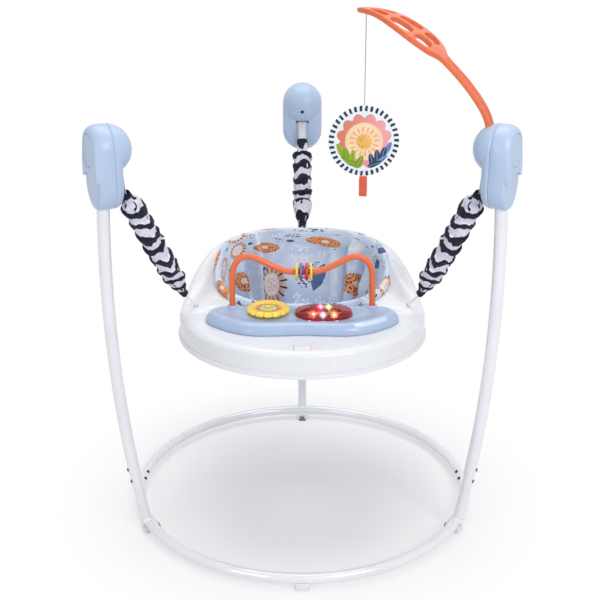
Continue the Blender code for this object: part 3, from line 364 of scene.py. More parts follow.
class Finish(Recipe):
    """A Principled material, and the patterns that its colour, gloss and bump are made of."""

    def __init__(self, name, **values):
        self.material = bpy.data.materials.new(name)
        self.material.use_nodes = True
        super().__init__(self.material.node_tree)
        self.shader = self.tree.nodes["Principled BSDF"]
        self.set(self.shader, **values)
        self.object = self.node("TexCoord", "Object")
        self.uv = self.object.also("UV")

    def noise(self, scale, detail=2.0, vector=None, roughness=0.5, distortion=0.0):
        return self.node("TexNoise", 0, Vector=vector or self.object, Scale=scale, Detail=detail,
                         Roughness=roughness, Distortion=distortion)

    def dots(self, vector, scale, loose, plane=False):
        """The distance to the nearest of a scatter of points, in a plane or in space."""
        return self.node("TexVoronoi", 0, {"voronoi_dimensions": "2D" if plane else "3D"}, (),
                         Vector=vector, Scale=scale, Randomness=loose)

    def length(self, vector):
        return self.vector_math("LENGTH", vector, out=1)

    def part(self, vector, index):
        """The x, y or z of a vector."""
        return self.node("SeparateXYZ", index, None, (vector,))

    def spun(self, vector, angle):
        return self.node("VectorRotate", 0, {"rotation_type": "Z_AXIS"}, (vector,), Angle=angle)

    def turn(self, vector):
        """The share of a full turn at which a vector points."""
        return self.node("TexGradient", 0, {"gradient_type": "RADIAL"}, (vector,))

    def wave(self, value, count):
        """A sine that runs count times while the value goes from 0 to 1."""
        return self.math("SINE", value * (math.tau * count))

    def ramp(self, value, *stops, mode="LINEAR"):
        made = self.node("ValToRGB", 0, None, (value,))
        ramp = made.socket.node.color_ramp
        ramp.interpolation = mode
        while len(ramp.elements) < len(stops):
            ramp.elements.new(0.5)
        for element, (place, colour) in zip(ramp.elements, stops):
            element.position = place
            element.color = (*colour, 1)
        return made

    def mix(self, share, first, second, blend="MIX"):
        made = self.tree.nodes.new("ShaderNodeMix")
        made.data_type = "RGBA"
        made.blend_type = blend
        for index, value in ((0, share), (6, first), (7, second)):
            self.feed(made.inputs[index], (*value, 1) if isinstance(value, tuple) else value)
        return Value(self, made.outputs[2])

    def range(self, value, low, high, to_low=0.0, to_high=1.0, smooth_step=False):
        kind = "SMOOTHSTEP" if smooth_step else "LINEAR"
        return self.node("MapRange", 0, {"interpolation_type": kind}, (value, low, high, to_low, to_high))

    def bump(self, height, distance):
        return self.node("Bump", 0, Height=height, Distance=distance, Strength=1.0)

    def cloud(self, first, second, scale, detail, low=0.3, high=0.7):
        """Drifts from one colour to the other with a noise."""
        return self.mix(self.range(self.noise(scale, detail), low, high), first, second)

    def paint(self, colour, rough, normal=None, **sockets):
        """rough may be (noise scale, detail, low, high, vector), and normal (noise scale, depth)."""
        if isinstance(rough, tuple):
            scale, detail, low, high, *vector = rough
            rough = self.range(self.noise(scale, detail, *vector), 0.3, 0.7, low, high)
        if isinstance(normal, tuple):
            normal = self.bump(self.noise(normal[0], 2), normal[1])
        self.set(self.shader, Base_Color=colour, Roughness=rough, Normal=normal, **sockets)
        return self.material


def linear(red, green, blue):
    """A colour given as it looks on a screen, in the values that a shader needs."""
    return tuple(v / 12.92 if v <= 0.04045 else ((v + 0.055) / 1.055) ** 2.4 for v in (red, green, blue))


def towards(colour, target, share):
    return tuple(c + (target - c) * share for c in colour)


def plain(name, first, second, cloud, rough, normal=None, **values):
    """A finish whose colour drifts between two close tones, with uneven gloss and a fine grain."""
    f = Finish(name, **values)
    return f.paint(f.cloud(first, second, *cloud), rough, normal)


def moulded(name, colour, roughness, grain=900, depth=0.000006, tint=0.03):
    """Injection-moulded plastic: a fine spark-eroded grain, a faint cloudiness and uneven gloss."""
    return plain(name, towards(colour, 0, tint), colour, (14, 3, 0.35, 0.65),
                 (45, 3, roughness - 0.012, roughness + 0.014), (grain, depth))


PALE_BLUE = moulded("pale_blue_plastic", linear(0.700, 0.775, 0.880), 0.36)
WHITE_PLASTIC = moulded("white_plastic", linear(0.905, 0.910, 0.922), 0.28, 1200, 0.0000015, 0.008)
ORANGE = moulded("orange_plastic", linear(0.905, 0.440, 0.255), 0.34)
print("moulded finishes", PALE_BLUE.name, WHITE_PLASTIC.name, ORANGE.name)

# %% [markdown]
# ## Painted tube, rubber and screws
# The tubes are steel with a glossy white powder coat: a hard clear shine over a skin with very slight
# orange peel. The grips are dull rubber, the screws are blackened steel, and the springs are bright wire.

# %% Finishes of the stand
PAINT = plain("white_painted_steel", linear(0.885, 0.889, 0.902), linear(0.905, 0.909, 0.922),
              (9, 2, 0.35, 0.65), (60, 3, 0.24, 0.27), (420, 0.000008),
              Coat_Weight=1.0, Coat_Roughness=0.05, Coat_IOR=1.9, Specular_IOR_Level=0.6)
RUBBER = plain("grey_rubber", linear(0.42, 0.42, 0.43), linear(0.52, 0.52, 0.53),
               (60, 4), (90, 3, 0.7, 0.85), (1500, 0.00005))
SCREW = plain("dark_screw", linear(0.17, 0.17, 0.19), linear(0.38, 0.38, 0.40),
              (300, 3, 0.35, 0.7), (240, 3, 0.32, 0.5), (2400, 0.00003), Metallic=0.85)
WIRE = plain("spring_steel", linear(0.62, 0.63, 0.65), linear(0.80, 0.81, 0.83),
             (200, 3), (160, 3, 0.22, 0.36), (1800, 0.00002), Metallic=1.0)
print("stand finishes", PAINT.name, RUBBER.name, SCREW.name, WIRE.name)

# %% [markdown]
# ## The ring and the legs
# The base is one tube bent to a circle in two halves that plug together. A section spun round the upright
# axis gives it a true bend with no facets. Each leg is a bowed tube that is sleeved over a short stub,
# with a weld bead where the stub meets the ring.

# %% Ring, stubs and legs
RING_R = 0.390
RING_Z = 0.0225
RING_TUBE_R = 0.0118
RING_JOINT = 2.0
JOINT_GAP = 0.0004
LEG_FOOT_Z = 0.030
LEG_TOP_Z = 0.760
LEG_FOOT_R = 0.395
LEG_TOP_R = 0.447
LEG_BOW = 0.022
STUB_R = 0.0114
SLEEVE_Z = 0.149
UPPER_LEG_R = 0.0132
UPPER_LEG_TOP = 0.800
WELD_PROFILE = [(0.0100, -0.0075), (0.0148, -0.0050), (0.0142, -0.0012), (0.0126, 0.0015), (0.0112, 0.0035)]


def leg_point(height):
    share = (height - LEG_FOOT_Z) / (LEG_TOP_Z - LEG_FOOT_Z)
    radius = LEG_FOOT_R + (LEG_TOP_R - LEG_FOOT_R) * share + 4 * LEG_BOW * share * (1 - share)
    return Vector((radius, 0, height))


def ring_half(name, start, end, node):
    """A section at the start angle, spun to the end angle and capped."""
    bm = bmesh.new()
    bmesh.ops.create_circle(bm, cap_ends=False, radius=RING_TUBE_R, segments=32)
    rotated(bm, 90, "X")
    bmesh.ops.translate(bm, verts=bm.verts, vec=(RING_R, 0, RING_Z))
    rotated(bm, start, "Z")
    bmesh.ops.spin(bm, geom=bm.verts[:] + bm.edges[:], cent=(0, 0, 0), axis=(0, 0, 1),
                   angle=math.radians(end - start), steps=120)
    bmesh.ops.holes_fill(bm, edges=bm.edges, sides=40)
    bmesh.ops.recalc_face_normals(bm, faces=bm.faces)
    return piece(name, bm, PAINT, "stand", (node,), at=HOME)


seam_turn = math.degrees(JOINT_GAP / RING_R)
ring_half("ring_tube_front", 180 - RING_JOINT, 360 + RING_JOINT, "base_ring_front")
ring_half("ring_tube_rear", RING_JOINT + seam_turn, 180 - RING_JOINT - seam_turn, "base_ring_rear")
for side, bay in BAY.items():
    stub = bar([leg_point(0.024 + 0.0166 * i) for i in range(11)], STUB_R, 28, 0.0006)
    piece("leg_stub_" + side, stub, PAINT, "stand", at=bay)
    lean = (leg_point(0.05) - leg_point(0.03)).to_track_quat("Z", "Y").to_matrix().to_4x4()
    seat = Matrix.Translation(leg_point(RING_Z + RING_TUBE_R)) @ lean
    piece("leg_weld_" + side, turned(WELD_PROFILE, 32), PAINT, "stand", at=bay @ seat)
    heights = [SLEEVE_Z + (UPPER_LEG_TOP - SLEEVE_Z) * i / 40 for i in range(41)]
    tube = bar([leg_point(height) for height in heights], UPPER_LEG_R, 32, 0.0010)
    piece("leg_tube_" + side, tube, PAINT, "stand", ("upper_leg_" + side,), at=bay)

# %% [markdown]
# ## Screws
# Each tube joint has a pan-head screw with a cross recess. The head is a spun profile, and the cross is
# made by sinking the points that lie along its two arms, which is enough at this size.

# %% Screws of the tube joints
SHANK_R = 0.0018
SHANK_LONG = 0.006
SCREW_SINK = 0.0002
JOINT_SCREW_TURN = 2.4


def pan_head(radius, height):
    """A domed head whose middle rows sink along the two arms of a cross, over a short shank."""
    rings = [(radius * i / 12, height * (1 - 0.30 * (i / 12) ** 2)) for i in range(13)]
    shank = [(SHANK_R, 0), (SHANK_R, -SHANK_LONG), (0, -SHANK_LONG)]
    bm = turned(rings + [(radius, height * 0.30), (radius * 0.96, 0)] + shank, 48)
    for vert in bm.verts:
        near, far = sorted((abs(vert.co.x), abs(vert.co.y)))
        if vert.co.z > height * 0.6 and near < radius * 0.14 and far < radius * 0.58:
            vert.co.z -= height * 0.75
    return bm


def screw(name, radius, height, at, replaces=()):
    piece(name, pan_head(radius, height), SCREW, "stand", replaces, at=at)


def facing(place, direction):
    return Matrix.Translation(place) @ Vector(direction).to_track_quat("Z", "Y").to_matrix().to_4x4()


def ring_place(angle):
    """On the ring's skin, half way between its top and its inner side."""
    a = math.radians(angle)
    out = Vector((math.cos(a), math.sin(a), 0))
    up_and_in = (Vector((0, 0, 1)) - out).normalized()
    skin = up_and_in * (RING_TUBE_R - SCREW_SINK)
    return HOME @ facing(out * RING_R + Vector((0, 0, RING_Z)) + skin, up_and_in)


for side, seam, way in (("right", RING_JOINT, 1), ("left", 180 - RING_JOINT, -1)):
    turn = way * JOINT_SCREW_TURN
    screw("ring_joint_screw_" + side, 0.0042, 0.0024, ring_place(seam + turn), ("ring_screw_" + side,))
    screw("ring_joint_screw_front_" + side, 0.0042, 0.0024, ring_place(seam - turn))
for side, bay in BAY.items():
    for label, rise, skin, nodes in (("lower", -0.014, STUB_R, ("leg_screw_" + side,)),
                                     ("upper", 0.016, UPPER_LEG_R, ())):
        place = leg_point(SLEEVE_Z + rise) + Vector((skin - 0.0001, 0, 0))
        screw("leg_joint_screw_%s_%s" % (label, side), 0.0040, 0.0023, bay @ facing(place, (1, 0, -0.14)),
              nodes)
print("screws made")

# %% [markdown]
# ## Feet
# Four saddles keep the ring off the floor. The frame's own shapes are right, so each is a copy with its
# edges rounded, and the grips get a dull rubber.

# %% Feet
for side in ("front", "rear", "left", "right"):
    softened("foot_saddle_" + side, "foot_" + side, WHITE_PLASTIC, "stand", 0.0012)
    softened("foot_rubber_" + side, "foot_grip_" + side, RUBBER, "stand", 0.0006)

# %% [markdown]
# ## Tower housings
# Each tower is two moulded shells that meet at an upright seam. The inner shell is a rounded plate that
# swells into a dome. The outer one is a plate with a raised pod, and the height button sits in the pod's
# round well. Both are wrapped grids, because their faces flow from one form into the next, which no
# primitive does. A slightly eased edge on each side of the seam makes the thin line that the eye expects.

# %% Inner shell
TOWER_HALF = 0.050
TOWER_TOP = 0.877
TOWER_LOW = 0.807
SEAM_R = 0.4312
INNER_FACE_R = 0.412
INNER_ROUND = 0.0175
DOME_R = 0.0465
DOME_WIDE = 0.0490
DOME_CENTRE_R = 0.430
DOME_BLEND = 0.005
SEAM_EASE = 0.0006
SEAM_GAP = 0.0002
SEAM_SHARE = 0.08
ARC_COLUMNS = 44
SIDE_COLUMNS = 20


def pill_point(u):
    """A direction and a height on the middle line for a share of the way round the tower's outline."""
    half, column = divmod(u * 2 * (ARC_COLUMNS + SIDE_COLUMNS) + 1e-6, ARC_COLUMNS + SIDE_COLUMNS)
    turned_by = min(1.0, column / ARC_COLUMNS)
    drop = (TOWER_TOP - TOWER_LOW) * max(0.0, column - ARC_COLUMNS) / SIDE_COLUMNS
    return math.pi * (half + turned_by), TOWER_LOW + drop if half == 1 else TOWER_TOP - drop


def inner_face(across, height, share):
    rise = INNER_ROUND - min(INNER_ROUND, (1 - share) * TOWER_HALF)
    plate = INNER_FACE_R + INNER_ROUND - math.sqrt(INNER_ROUND ** 2 - rise ** 2)
    away = min(1.0, math.hypot(across, height - TOWER_TOP) / DOME_WIDE)
    dome = DOME_CENTRE_R - DOME_R * math.sqrt(1 - away ** 2)
    near = max(0.0, 1 - abs(plate - dome) / DOME_BLEND)
    return min(plate, dome) - near ** 2 * DOME_BLEND / 4


def inner_place(u, v):
    """v runs over the seam's own face up to SEAM_SHARE, then over the eased edge to the middle line at 1."""
    angle, height = pill_point(u)
    if v < SEAM_SHARE:
        share = min(1 - 0.3 * (1 - v / SEAM_SHARE), 1 - SEAM_EASE / TOWER_HALF)
    else:
        share = 1 - ((v - SEAM_SHARE) / (1 - SEAM_SHARE)) ** 1.5
    across = share * TOWER_HALF * math.cos(angle)
    high = height + share * TOWER_HALF * math.sin(angle)
    radius = SEAM_R - SEAM_GAP
    if v >= SEAM_SHARE:
        radius = min(inner_face(across, high, share), radius - SEAM_EASE)
    return Vector((radius, across, high))


def block(low, high):
    bm = bmesh.new()
    verts = bmesh.ops.create_cube(bm, size=1)["verts"]
    bmesh.ops.scale(bm, vec=Vector(high) - Vector(low), verts=verts)
    bmesh.ops.translate(bm, vec=(Vector(high) + Vector(low)) / 2, verts=verts)
    return bm


def carve(obj, tools):
    """Cuts bmesh tools out of the object and keeps only the result."""
    cutters = []
    for number, bm in enumerate(tools):
        bmesh.ops.recalc_face_normals(bm, faces=bm.faces)
        cutters.append(new_object("tool_%d" % number, bm))
        modifier = obj.modifiers.new("carve", "BOOLEAN")
        modifier.operation = "DIFFERENCE"
        modifier.object = cutters[-1]
        modifier.solver = "EXACT"
    settled(obj)
    for tool in cutters:
        bpy.data.objects.remove(tool)
    smooth(obj.data)


SCREW_HOLE_Z = 0.860
SLOT_Z = 0.831
for side, bay in BAY.items():
    bm = shut(wrap(2 * (ARC_COLUMNS + SIDE_COLUMNS), 44, inner_place))
    shell = piece("tower_dome_shell_" + side, bm, PALE_BLUE, "stand", ("tower_inner_" + side,), at=bay)
    tools = [moved(plug(0.0044, 0.0, 0.03), bay @ facing(Vector((0.372, 0, SCREW_HOLE_Z)), (1, 0, 0))),
             moved(block((0.400, -0.0165, SLOT_Z - 0.0030), (0.4285, 0.0165, SLOT_Z + 0.0030)), bay)]
    if side == "right":
        tools.append(moved(block((0.4083, -0.0136, 0.9045), (0.4197, 0.0136, 0.945)), bay))
    carve(shell, tools)
    place = facing(Vector((0.3965, 0, SCREW_HOLE_Z)), (-1, 0, 0))
    screw("tower_shell_screw_" + side, 0.0038, 0.0022, bay @ place, ("tower_screw_" + side,))

# %% [markdown]
# ## Pod shells
# The outer shell is drawn as rays from the button's middle. Each ray runs from the seam over the rounded rim
# and the pod's edge down into the button's well. Extra rays stand at the corners of the pod's two feet, so
# that the arch between them stays crisp.

# %% Outer shell
LOWER_FACE_R = 0.465
POD_FACE_R = 0.471
FOOT_Z = 0.8205
ARCH_Z = 0.8300
FOOT_INSIDE = 0.0380
WELL_R = 0.0333
WELL_DEEP = 0.0106


def outline_reach(angle):
    """How far the tower's outline is from the button's middle in a direction."""
    c, s = math.cos(angle), math.sin(angle)
    if s >= 0:
        return TOWER_HALF
    side_reach = TOWER_HALF / max(abs(c), 1e-9)
    drop = TOWER_TOP - TOWER_LOW
    if side_reach * -s <= drop:
        return side_reach
    return drop * -s + math.sqrt(TOWER_HALF ** 2 - (drop * c) ** 2)


def pod_reach(angle):
    """How far the pod's lower edge is from the button's middle, between its two feet."""
    c, s = abs(math.cos(angle)), -math.sin(angle)
    to_arch = (TOWER_TOP - ARCH_Z) / s
    to_foot = (TOWER_TOP - FOOT_Z) / s
    foot = smoothstep((to_foot * c - FOOT_INSIDE + 0.001) / 0.002)
    return to_arch + (to_foot - to_arch) * foot


def outer_profile(angle):
    """Seventeen (distance, radius) points from the seam to the floor of the button's well."""
    reach = outline_reach(angle)
    height = TOWER_TOP + reach * math.sin(angle)
    floor = POD_FACE_R - WELL_DEEP
    well = [(WELL_R + 0.0008, POD_FACE_R), (WELL_R + 0.0001, POD_FACE_R - 0.0006), (WELL_R, floor),
            (0, floor)]
    start = [(reach - SEAM_EASE, SEAM_R), (reach, SEAM_R + SEAM_EASE)]
    if height > FOOT_Z:
        crown = smoothstep((height - TOWER_TOP + 0.040) / 0.055)
        wide = 0.0045 + 0.0110 * crown
        deep = 0.0045 + 0.0185 * crown
        base = POD_FACE_R - deep
        rows = start + [(reach, SEAM_R + (base - SEAM_R) * 0.6)]
        rows += [(reach - wide * (1 - math.cos(t)), base + deep * math.sin(t))
                 for t in (math.pi / 2 * i / 8 for i in range(9))]
        rows += [((rows[-1][0] + well[0][0]) / 2, POD_FACE_R)]
        return rows + well
    edge = pod_reach(angle)
    rows = start + [(reach, 0.450)]
    rows += [(reach - 0.007 * (1 - math.cos(t)), LOWER_FACE_R - 0.007 + 0.007 * math.sin(t))
             for t in (math.pi / 2 * i / 4 for i in range(5))]
    rows += [(edge + 0.0008, LOWER_FACE_R), (edge, LOWER_FACE_R + 0.0006), (edge, POD_FACE_R - 0.0008),
             (edge - 0.0008, POD_FACE_R), ((edge + well[0][0]) / 2, POD_FACE_R)]
    return rows + well


ray_count = 168
corner = math.asin((TOWER_TOP - FOOT_Z) / math.hypot(TOWER_HALF, TOWER_TOP - FOOT_Z))
rays = [2 * math.pi * i / ray_count for i in range(ray_count)]
for foot_corner in (2 * math.pi - corner, math.pi + corner):
    rays += [foot_corner - 0.002, foot_corner + 0.002]
rays = sorted(rays)
profiles = [outer_profile(angle) for angle in rays]


def outer_place(u, v):
    """Column by ray and row by profile point; the last column closes on the first."""
    column = round(u * len(rays)) % len(rays)
    row = round(v * (len(profiles[0]) - 1))
    distance, radius = profiles[column][row]
    angle = rays[column]
    return Vector((radius, distance * math.cos(angle), TOWER_TOP + distance * math.sin(angle)))


for side, bay in BAY.items():
    bm = shut(wrap(len(rays), len(profiles[0]) - 1, outer_place))
    piece("tower_pod_shell_" + side, bm, PALE_BLUE, "stand", ("tower_outer_" + side,), at=bay, sharp=50)
print("outer shell rays", len(rays), "profile points", len(profiles[0]))

# %% [markdown]
# ## Height buttons
# A shallow dished disc fills each pod's well and presses in by 4 mm. Its profile has a finger dish and a
# rounded rim, and it rides on its own body, so that it moves by itself.

# %% Height buttons
BUTTON_R = 0.0326
BUTTON_THICK = 0.0055
button_profile = [(0, BUTTON_THICK - 0.0016), (BUTTON_R * 0.30, BUTTON_THICK - 0.0015),
                  (BUTTON_R * 0.60, BUTTON_THICK - 0.0010), (BUTTON_R * 0.80, BUTTON_THICK - 0.0003),
                  (BUTTON_R * 0.90, BUTTON_THICK), (BUTTON_R - 0.0016, BUTTON_THICK),
                  (BUTTON_R - 0.0007, BUTTON_THICK - 0.0002), (BUTTON_R - 0.0002, BUTTON_THICK - 0.0007),
                  (BUTTON_R, BUTTON_THICK - 0.0016), (BUTTON_R, 0), (0, 0)]
for side, bay in BAY.items():
    place = facing(Vector((POD_FACE_R - 0.0005 - BUTTON_THICK, 0, TOWER_TOP)), (1, 0, 0))
    piece("button_cap_" + side, turned(button_profile, 64), PALE_BLUE, "button_" + side,
          ("height_button_" + side,), at=bay @ place)
print("button radius", BUTTON_R)

# %% [markdown]
# ## Cloth finishes
# The sleeves are a striped woven cloth, and the straps are plain white webbing. Both read the piece's own UV
# map, so that the stripes and the weave stay on the cloth.

# %% Striped cloth and webbing
def weave(f, across, along_it, depth=0.00012):
    """A plain weave on the UV map: across and along_it are threads over the whole map each way."""
    u = f.wave(f.part(f.uv, 0), across)
    v = f.wave(f.part(f.uv, 1), along_it)
    return f.bump(u * v, depth)


def round_cloth(f, turns_length):
    """A vector on a tube of cloth that has no seam: once round is u, and along is v times the length."""
    u = f.part(f.uv, 0) * math.tau
    v = f.part(f.uv, 1) * turns_length
    return f.node("CombineXYZ", 0, None, (f.math("COSINE", u), f.math("SINE", u), v)), v


def striped_cloth(name, rings, seed):
    """One dark band at each ring's lip: v of the UV map counts the rings, so the print follows the folds."""
    f = Finish(name, Sheen_Weight=0.08, Sheen_Roughness=0.5, Specular_IOR_Level=0.12)
    tube, v = round_cloth(f, rings)
    lifted = tube + (seed, seed * 0.7, 0)

    def patch(scale, away):
        return f.noise(scale, 1, lifted + away)

    drift = (f.noise(0.8, 1, lifted) - 0.5) * 0.60
    ragged = (f.noise(4.0, 1, lifted) - 0.5) * 0.07
    place = f.math("FRACT", v + (drift + ragged))
    wide = f.range(patch(1.1, (4.0, 1.0, 7.0)), 0.30, 0.68, 0.20, 0.72)
    band = f.range(wide - place, -0.01, 0.01) * f.range(place, 0.0, 0.02)
    gap = patch(1.5, (9.0, 2.0, 3.0)) > 0.67
    blob = patch(1.8, (1.0, 8.0, 5.0)) > 0.71
    ends = abs(v / rings - 0.490) > 0.450
    dark = f.math("MAXIMUM", f.math("MAXIMUM", band * (1.0 - gap), blob), ends)
    fade = f.range(f.noise(9, 4, lifted), 0.3, 0.7)
    light = f.mix(fade, linear(0.855, 0.850, 0.915), linear(0.945, 0.940, 0.975))
    ink = f.mix(fade, linear(0.115, 0.115, 0.175), linear(0.170, 0.170, 0.235))
    return f.paint(f.mix(dark, light, ink), (40, 3, 0.78, 0.92, lifted), weave(f, 150, 290))


def webbing():
    f = Finish("white_webbing", Specular_IOR_Level=0.3)
    rib = f.wave(f.part(f.uv, 1), 70)
    shade = f.mix(f.range(rib, -1, 1), linear(0.84, 0.845, 0.87), linear(0.93, 0.935, 0.95))
    return f.paint(shade, (80, 2, 0.68, 0.82), weave(f, 40, 70, 0.0002))


SLEEVE_RINGS = {"left": 9, "right": 9, "rear": 7}
STRIPE_SEEDS = {"left": 3.1, "right": 3.1, "rear": 8.6}
STRIPES = {side: striped_cloth("striped_cloth_" + side, rings, STRIPE_SEEDS[side])
           for side, rings in SLEEVE_RINGS.items()}
WEBBING = webbing()
print("cloth finishes", [m.name for m in STRIPES.values()])

# %% [markdown]
# ## Straps and springs
# A flat strap leaves the slot below each dome and runs into the sleeve's neck, where it takes the top of a
# long coil spring. The springs hardly show, but they are what the tray hangs on, so they are wound in full.

# %% Straps and springs


def three_places(right, rear):
    """The places of the three bays: the left one mirrors the right one."""
    return {"right": right, "left": (-right[0], *right[1:]), "rear": rear}


SLEEVE_TOP = three_places((0.3564, -0.1838, 0.787), (0, 0.385, 0.790))
SLEEVE_END = three_places((0.2615, -0.048, 0.522), (0, 0.2555, 0.594))
HOOK_SLOT = three_places((0.2400, -0.014), (0, 0.2385))
COIL_TURNS = {"right": 48, "left": 48, "rear": 34}
COIL_STEPS = 14
COIL_R = 0.0118
WIRE_R = 0.0012


def ribbon(points, halves, across, thickness, steps=6):
    """A flat band along a curve. across is the direction of its width."""
    path = curved(points, steps)
    widths = curved([(half, 0, 0) for half in halves], steps)
    across = Vector(across).normalized()
    last = len(path) - 1

    def place(u, v):
        i = round(v * last)
        run = (path[min(i + 1, last)] - path[max(i - 1, 0)]).normalized()
        face = run.cross(across).normalized()
        c, s = math.cos(u * math.tau), math.sin(u * math.tau)
        side = math.copysign(abs(c) ** 0.35, c)
        lift = math.copysign(abs(s) ** 0.6, s) * thickness / 2
        return path[i] + across * (side * widths[i].x) + face * lift

    return shut(wrap(24, last, place))


for side, bay in BAY.items():
    top, end = (HOME @ Vector(p[side]) for p in (SLEEVE_TOP, SLEEVE_END))
    axis = (end - top).normalized()
    mouth = bay @ Vector((0.4060, 0, SLOT_Z - 0.0035))
    strap = [bay @ Vector((0.4270, 0, SLOT_Z)), bay @ Vector((0.4110, 0, SLOT_Z)), mouth,
             mouth + (top - mouth) * 0.3, top, top + axis * 0.026]
    halves = (0.0120, 0.0118, 0.0112, 0.0105, 0.0095, 0.0090)
    bm = ribbon(strap, halves, bay.to_3x3() @ Vector((0, 1, 0)), 0.0016)
    piece("strap_band_" + side, bm, WEBBING, "stand", ("strap_" + side,))
    start, stop = top + axis * 0.0275, end - axis * 0.018
    turns = COIL_TURNS[side]
    first = axis.orthogonal().normalized()
    second = axis.cross(first)
    run = (stop - start) - axis * 0.016
    coil = [start, start + axis * 0.004]
    for i in range(turns * COIL_STEPS + 1):
        turn = math.tau * i / COIL_STEPS
        swell = COIL_R * min(1, 0.4 + i / COIL_STEPS, 0.4 + turns - i / COIL_STEPS)
        off = (first * math.cos(turn) + second * math.sin(turn)) * swell
        coil.append(start + axis * 0.008 + run * (i / (turns * COIL_STEPS)) + off)
    coil += [stop - axis * 0.004, stop]
    spring = piece("coil_spring_" + side, bar(coil, WIRE_R, 8), WIRE, None, ("spring_" + side,))
    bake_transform(spring)

# %% [markdown]
# ## Sleeves
# Each sleeve is a tube of cloth about twice as long as its spring, pushed together into soft rings. The
# rings are uneven and tilted, each with a slow swell and a tight crease below it, and small folds run
# across them. The cloth narrows to an elastic neck at the top and a twisted end at the tray. The tube bends
# between the stand and the tray.

# %% Sleeves
NECK_R = 0.0122
NECK_FLAT = 0.62
SLEEVE_R = 0.0222
SLEEVE_TIP_R = 0.0094
NECK_LONG = {"left": 0.016, "right": 0.016, "rear": 0.030}
SLEEVE_SAG = {"left": 0.0045, "right": 0.0045, "rear": 0.0015}
FOLD_SEEDS = {"left": 2.1, "right": 2.1, "rear": 5.3}
SLEEVE_ROWS = {"left": 260, "right": 260, "rear": 200}


def ring_phase(u, v, rings, seed):
    """Counts the rings along the sleeve. It drifts round the tube, so that the rings tilt."""
    c, s = math.cos(u * math.tau), math.sin(u * math.tau)
    drift = noise.noise(Vector((c * 0.7, s * 0.7, v * 7 + seed)))
    tilt = 0.42 * drift + 0.22 * s * math.sin(v * 11 + seed) + 0.12 * c
    return v * rings + tilt * max(0.0, math.sin(math.pi * v)) ** 0.4


def sleeve_place(top, end, neck, sag, seed, mirror, rings):
    """The place function of one sleeve. A mirrored one turns its folds the other way."""
    axis = (end - top).normalized()
    length = (end - top).length
    side = axis.cross(Vector((0, 0, 1))).normalized()
    up = side.cross(axis).normalized()

    def place(u, v):
        angle = u * math.tau
        z = v * length
        c, s = math.cos(angle), math.sin(angle)
        q = ring_phase(u, v, rings, seed)
        cell = math.floor(q)
        t = q - cell
        size = 0.75 + 0.6 * noise.noise(Vector((cell * 1.7, seed, 0.5)))
        lip = smoothstep(t / 0.16) * (1 - 0.88 * smoothstep((t - 0.10) / 0.90) ** 0.8)
        inner = noise.noise(Vector((c * 1.1 + cell, s * 1.1, seed)))
        inner *= 0.30 * math.exp(-((t - 0.56) / 0.10) ** 2)
        body = smoothstep((z - neck) / 0.012)
        tip = smoothstep((v - 0.80) / 0.17)
        radius = NECK_R + (SLEEVE_R - NECK_R) * body + (SLEEVE_TIP_R - SLEEVE_R) * tip
        loose = body * (1 - 0.6 * tip)
        radius += (0.0078 * size * (lip - 0.5) + 0.006 * inner) * (0.12 + 0.88 * loose)
        pleat = 1 - 2 * abs(noise.noise(Vector((c * 1.9 + cell * 3, s * 1.9, t * 0.9 + seed))))
        radius += 0.0019 * (pleat - 0.55) * loose * (0.4 + 0.6 * t)
        radius += 0.0007 * noise.noise(Vector((c * 3.4, s * 3.4, z * 110 + seed)))
        radius += 0.0006 * math.sin(angle * 12 + 3 * s) * (1 - body)
        radius += 0.0009 * math.sin(angle * 3 + v * 90) * tip
        centre = top + axis * z - Vector((0, 0, sag)) * math.sin(math.pi * v)
        flat = 1 - (1 - NECK_FLAT) * (1 - smoothstep((z - 0.004) / 0.022))
        return centre + side * (c * radius) * mirror * (1.15 - 0.15 * flat) + up * (s * radius * flat)

    return place


for side in SIDES:
    top, end = (HOME @ Vector(p[side]) for p in (SLEEVE_TOP, SLEEVE_END))
    mirror = -1 if side == "left" else 1
    seed, rings = FOLD_SEEDS[side], SLEEVE_RINGS[side]
    place = sleeve_place(top, end, NECK_LONG[side], SLEEVE_SAG[side], seed, mirror, rings)
    bm = wrap(112, SLEEVE_ROWS[side], place)
    map_layer = bm.loops.layers.uv["UVMap"]
    for face in bm.faces:
        for loop in face.loops:
            at = loop[map_layer].uv
            at.y = ring_phase(at.x, at.y, rings, seed) / rings
    sleeve = piece("sleeve_cloth_" + side, bm, STRIPES[side], None, ("sleeve_" + side,), sharp=180)
    thickened(sleeve, 0.0008, -1, 70)
    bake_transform(sleeve)

# %% [markdown]
# ## Tray
# The tray is one thin moulding. Its deck is flat in front, where the console sits, and climbs to a high
# back round the seat's well. The edge rolls over into an upright wall, which ends in a small flared lip with
# a parting line above it. The deck's height is a smooth function, so a wrapped grid gives it true curves, and
# a shallow S-shaped crease is pressed in beside each hook.

# %% Deck
TRAY_DECK_Z = 0.4765
TRAY_R = 0.279
BACK_RISE = 0.106
BACK_SINE = 0.82
WALL_Z = 0.428
LIP_Z = 0.4195
LIP_OUT = 0.0045
TRAY_SKIN = 0.003
WELL = (0.1935, 0.1115, 2.8)
WELL_Y = 0.083
RECESS_Y = -0.046
DECK_EDGE = TRAY_R - 0.016
DECK_ROWS = 44
EDGE_DROP = 0.0125
WELL_EASE = 0.012
WELL_ROLL = 0.0035
CREASE = curved([(0.246, 0.024, 0), (0.232, 0.035, 0), (0.216, 0.034, 0), (0.205, 0.018, 0),
                 (0.196, -0.004, 0), (0.184, -0.022, 0)], 6)


def superellipse(angle, half_x, half_y, power):
    c, s = math.cos(angle), math.sin(angle)
    return tuple(math.copysign(half * abs(k) ** (2 / power), k) for half, k in ((half_x, c), (half_y, s)))


def outer_height(angle):
    return TRAY_DECK_Z + BACK_RISE * smoothstep(math.sin(angle) / BACK_SINE)


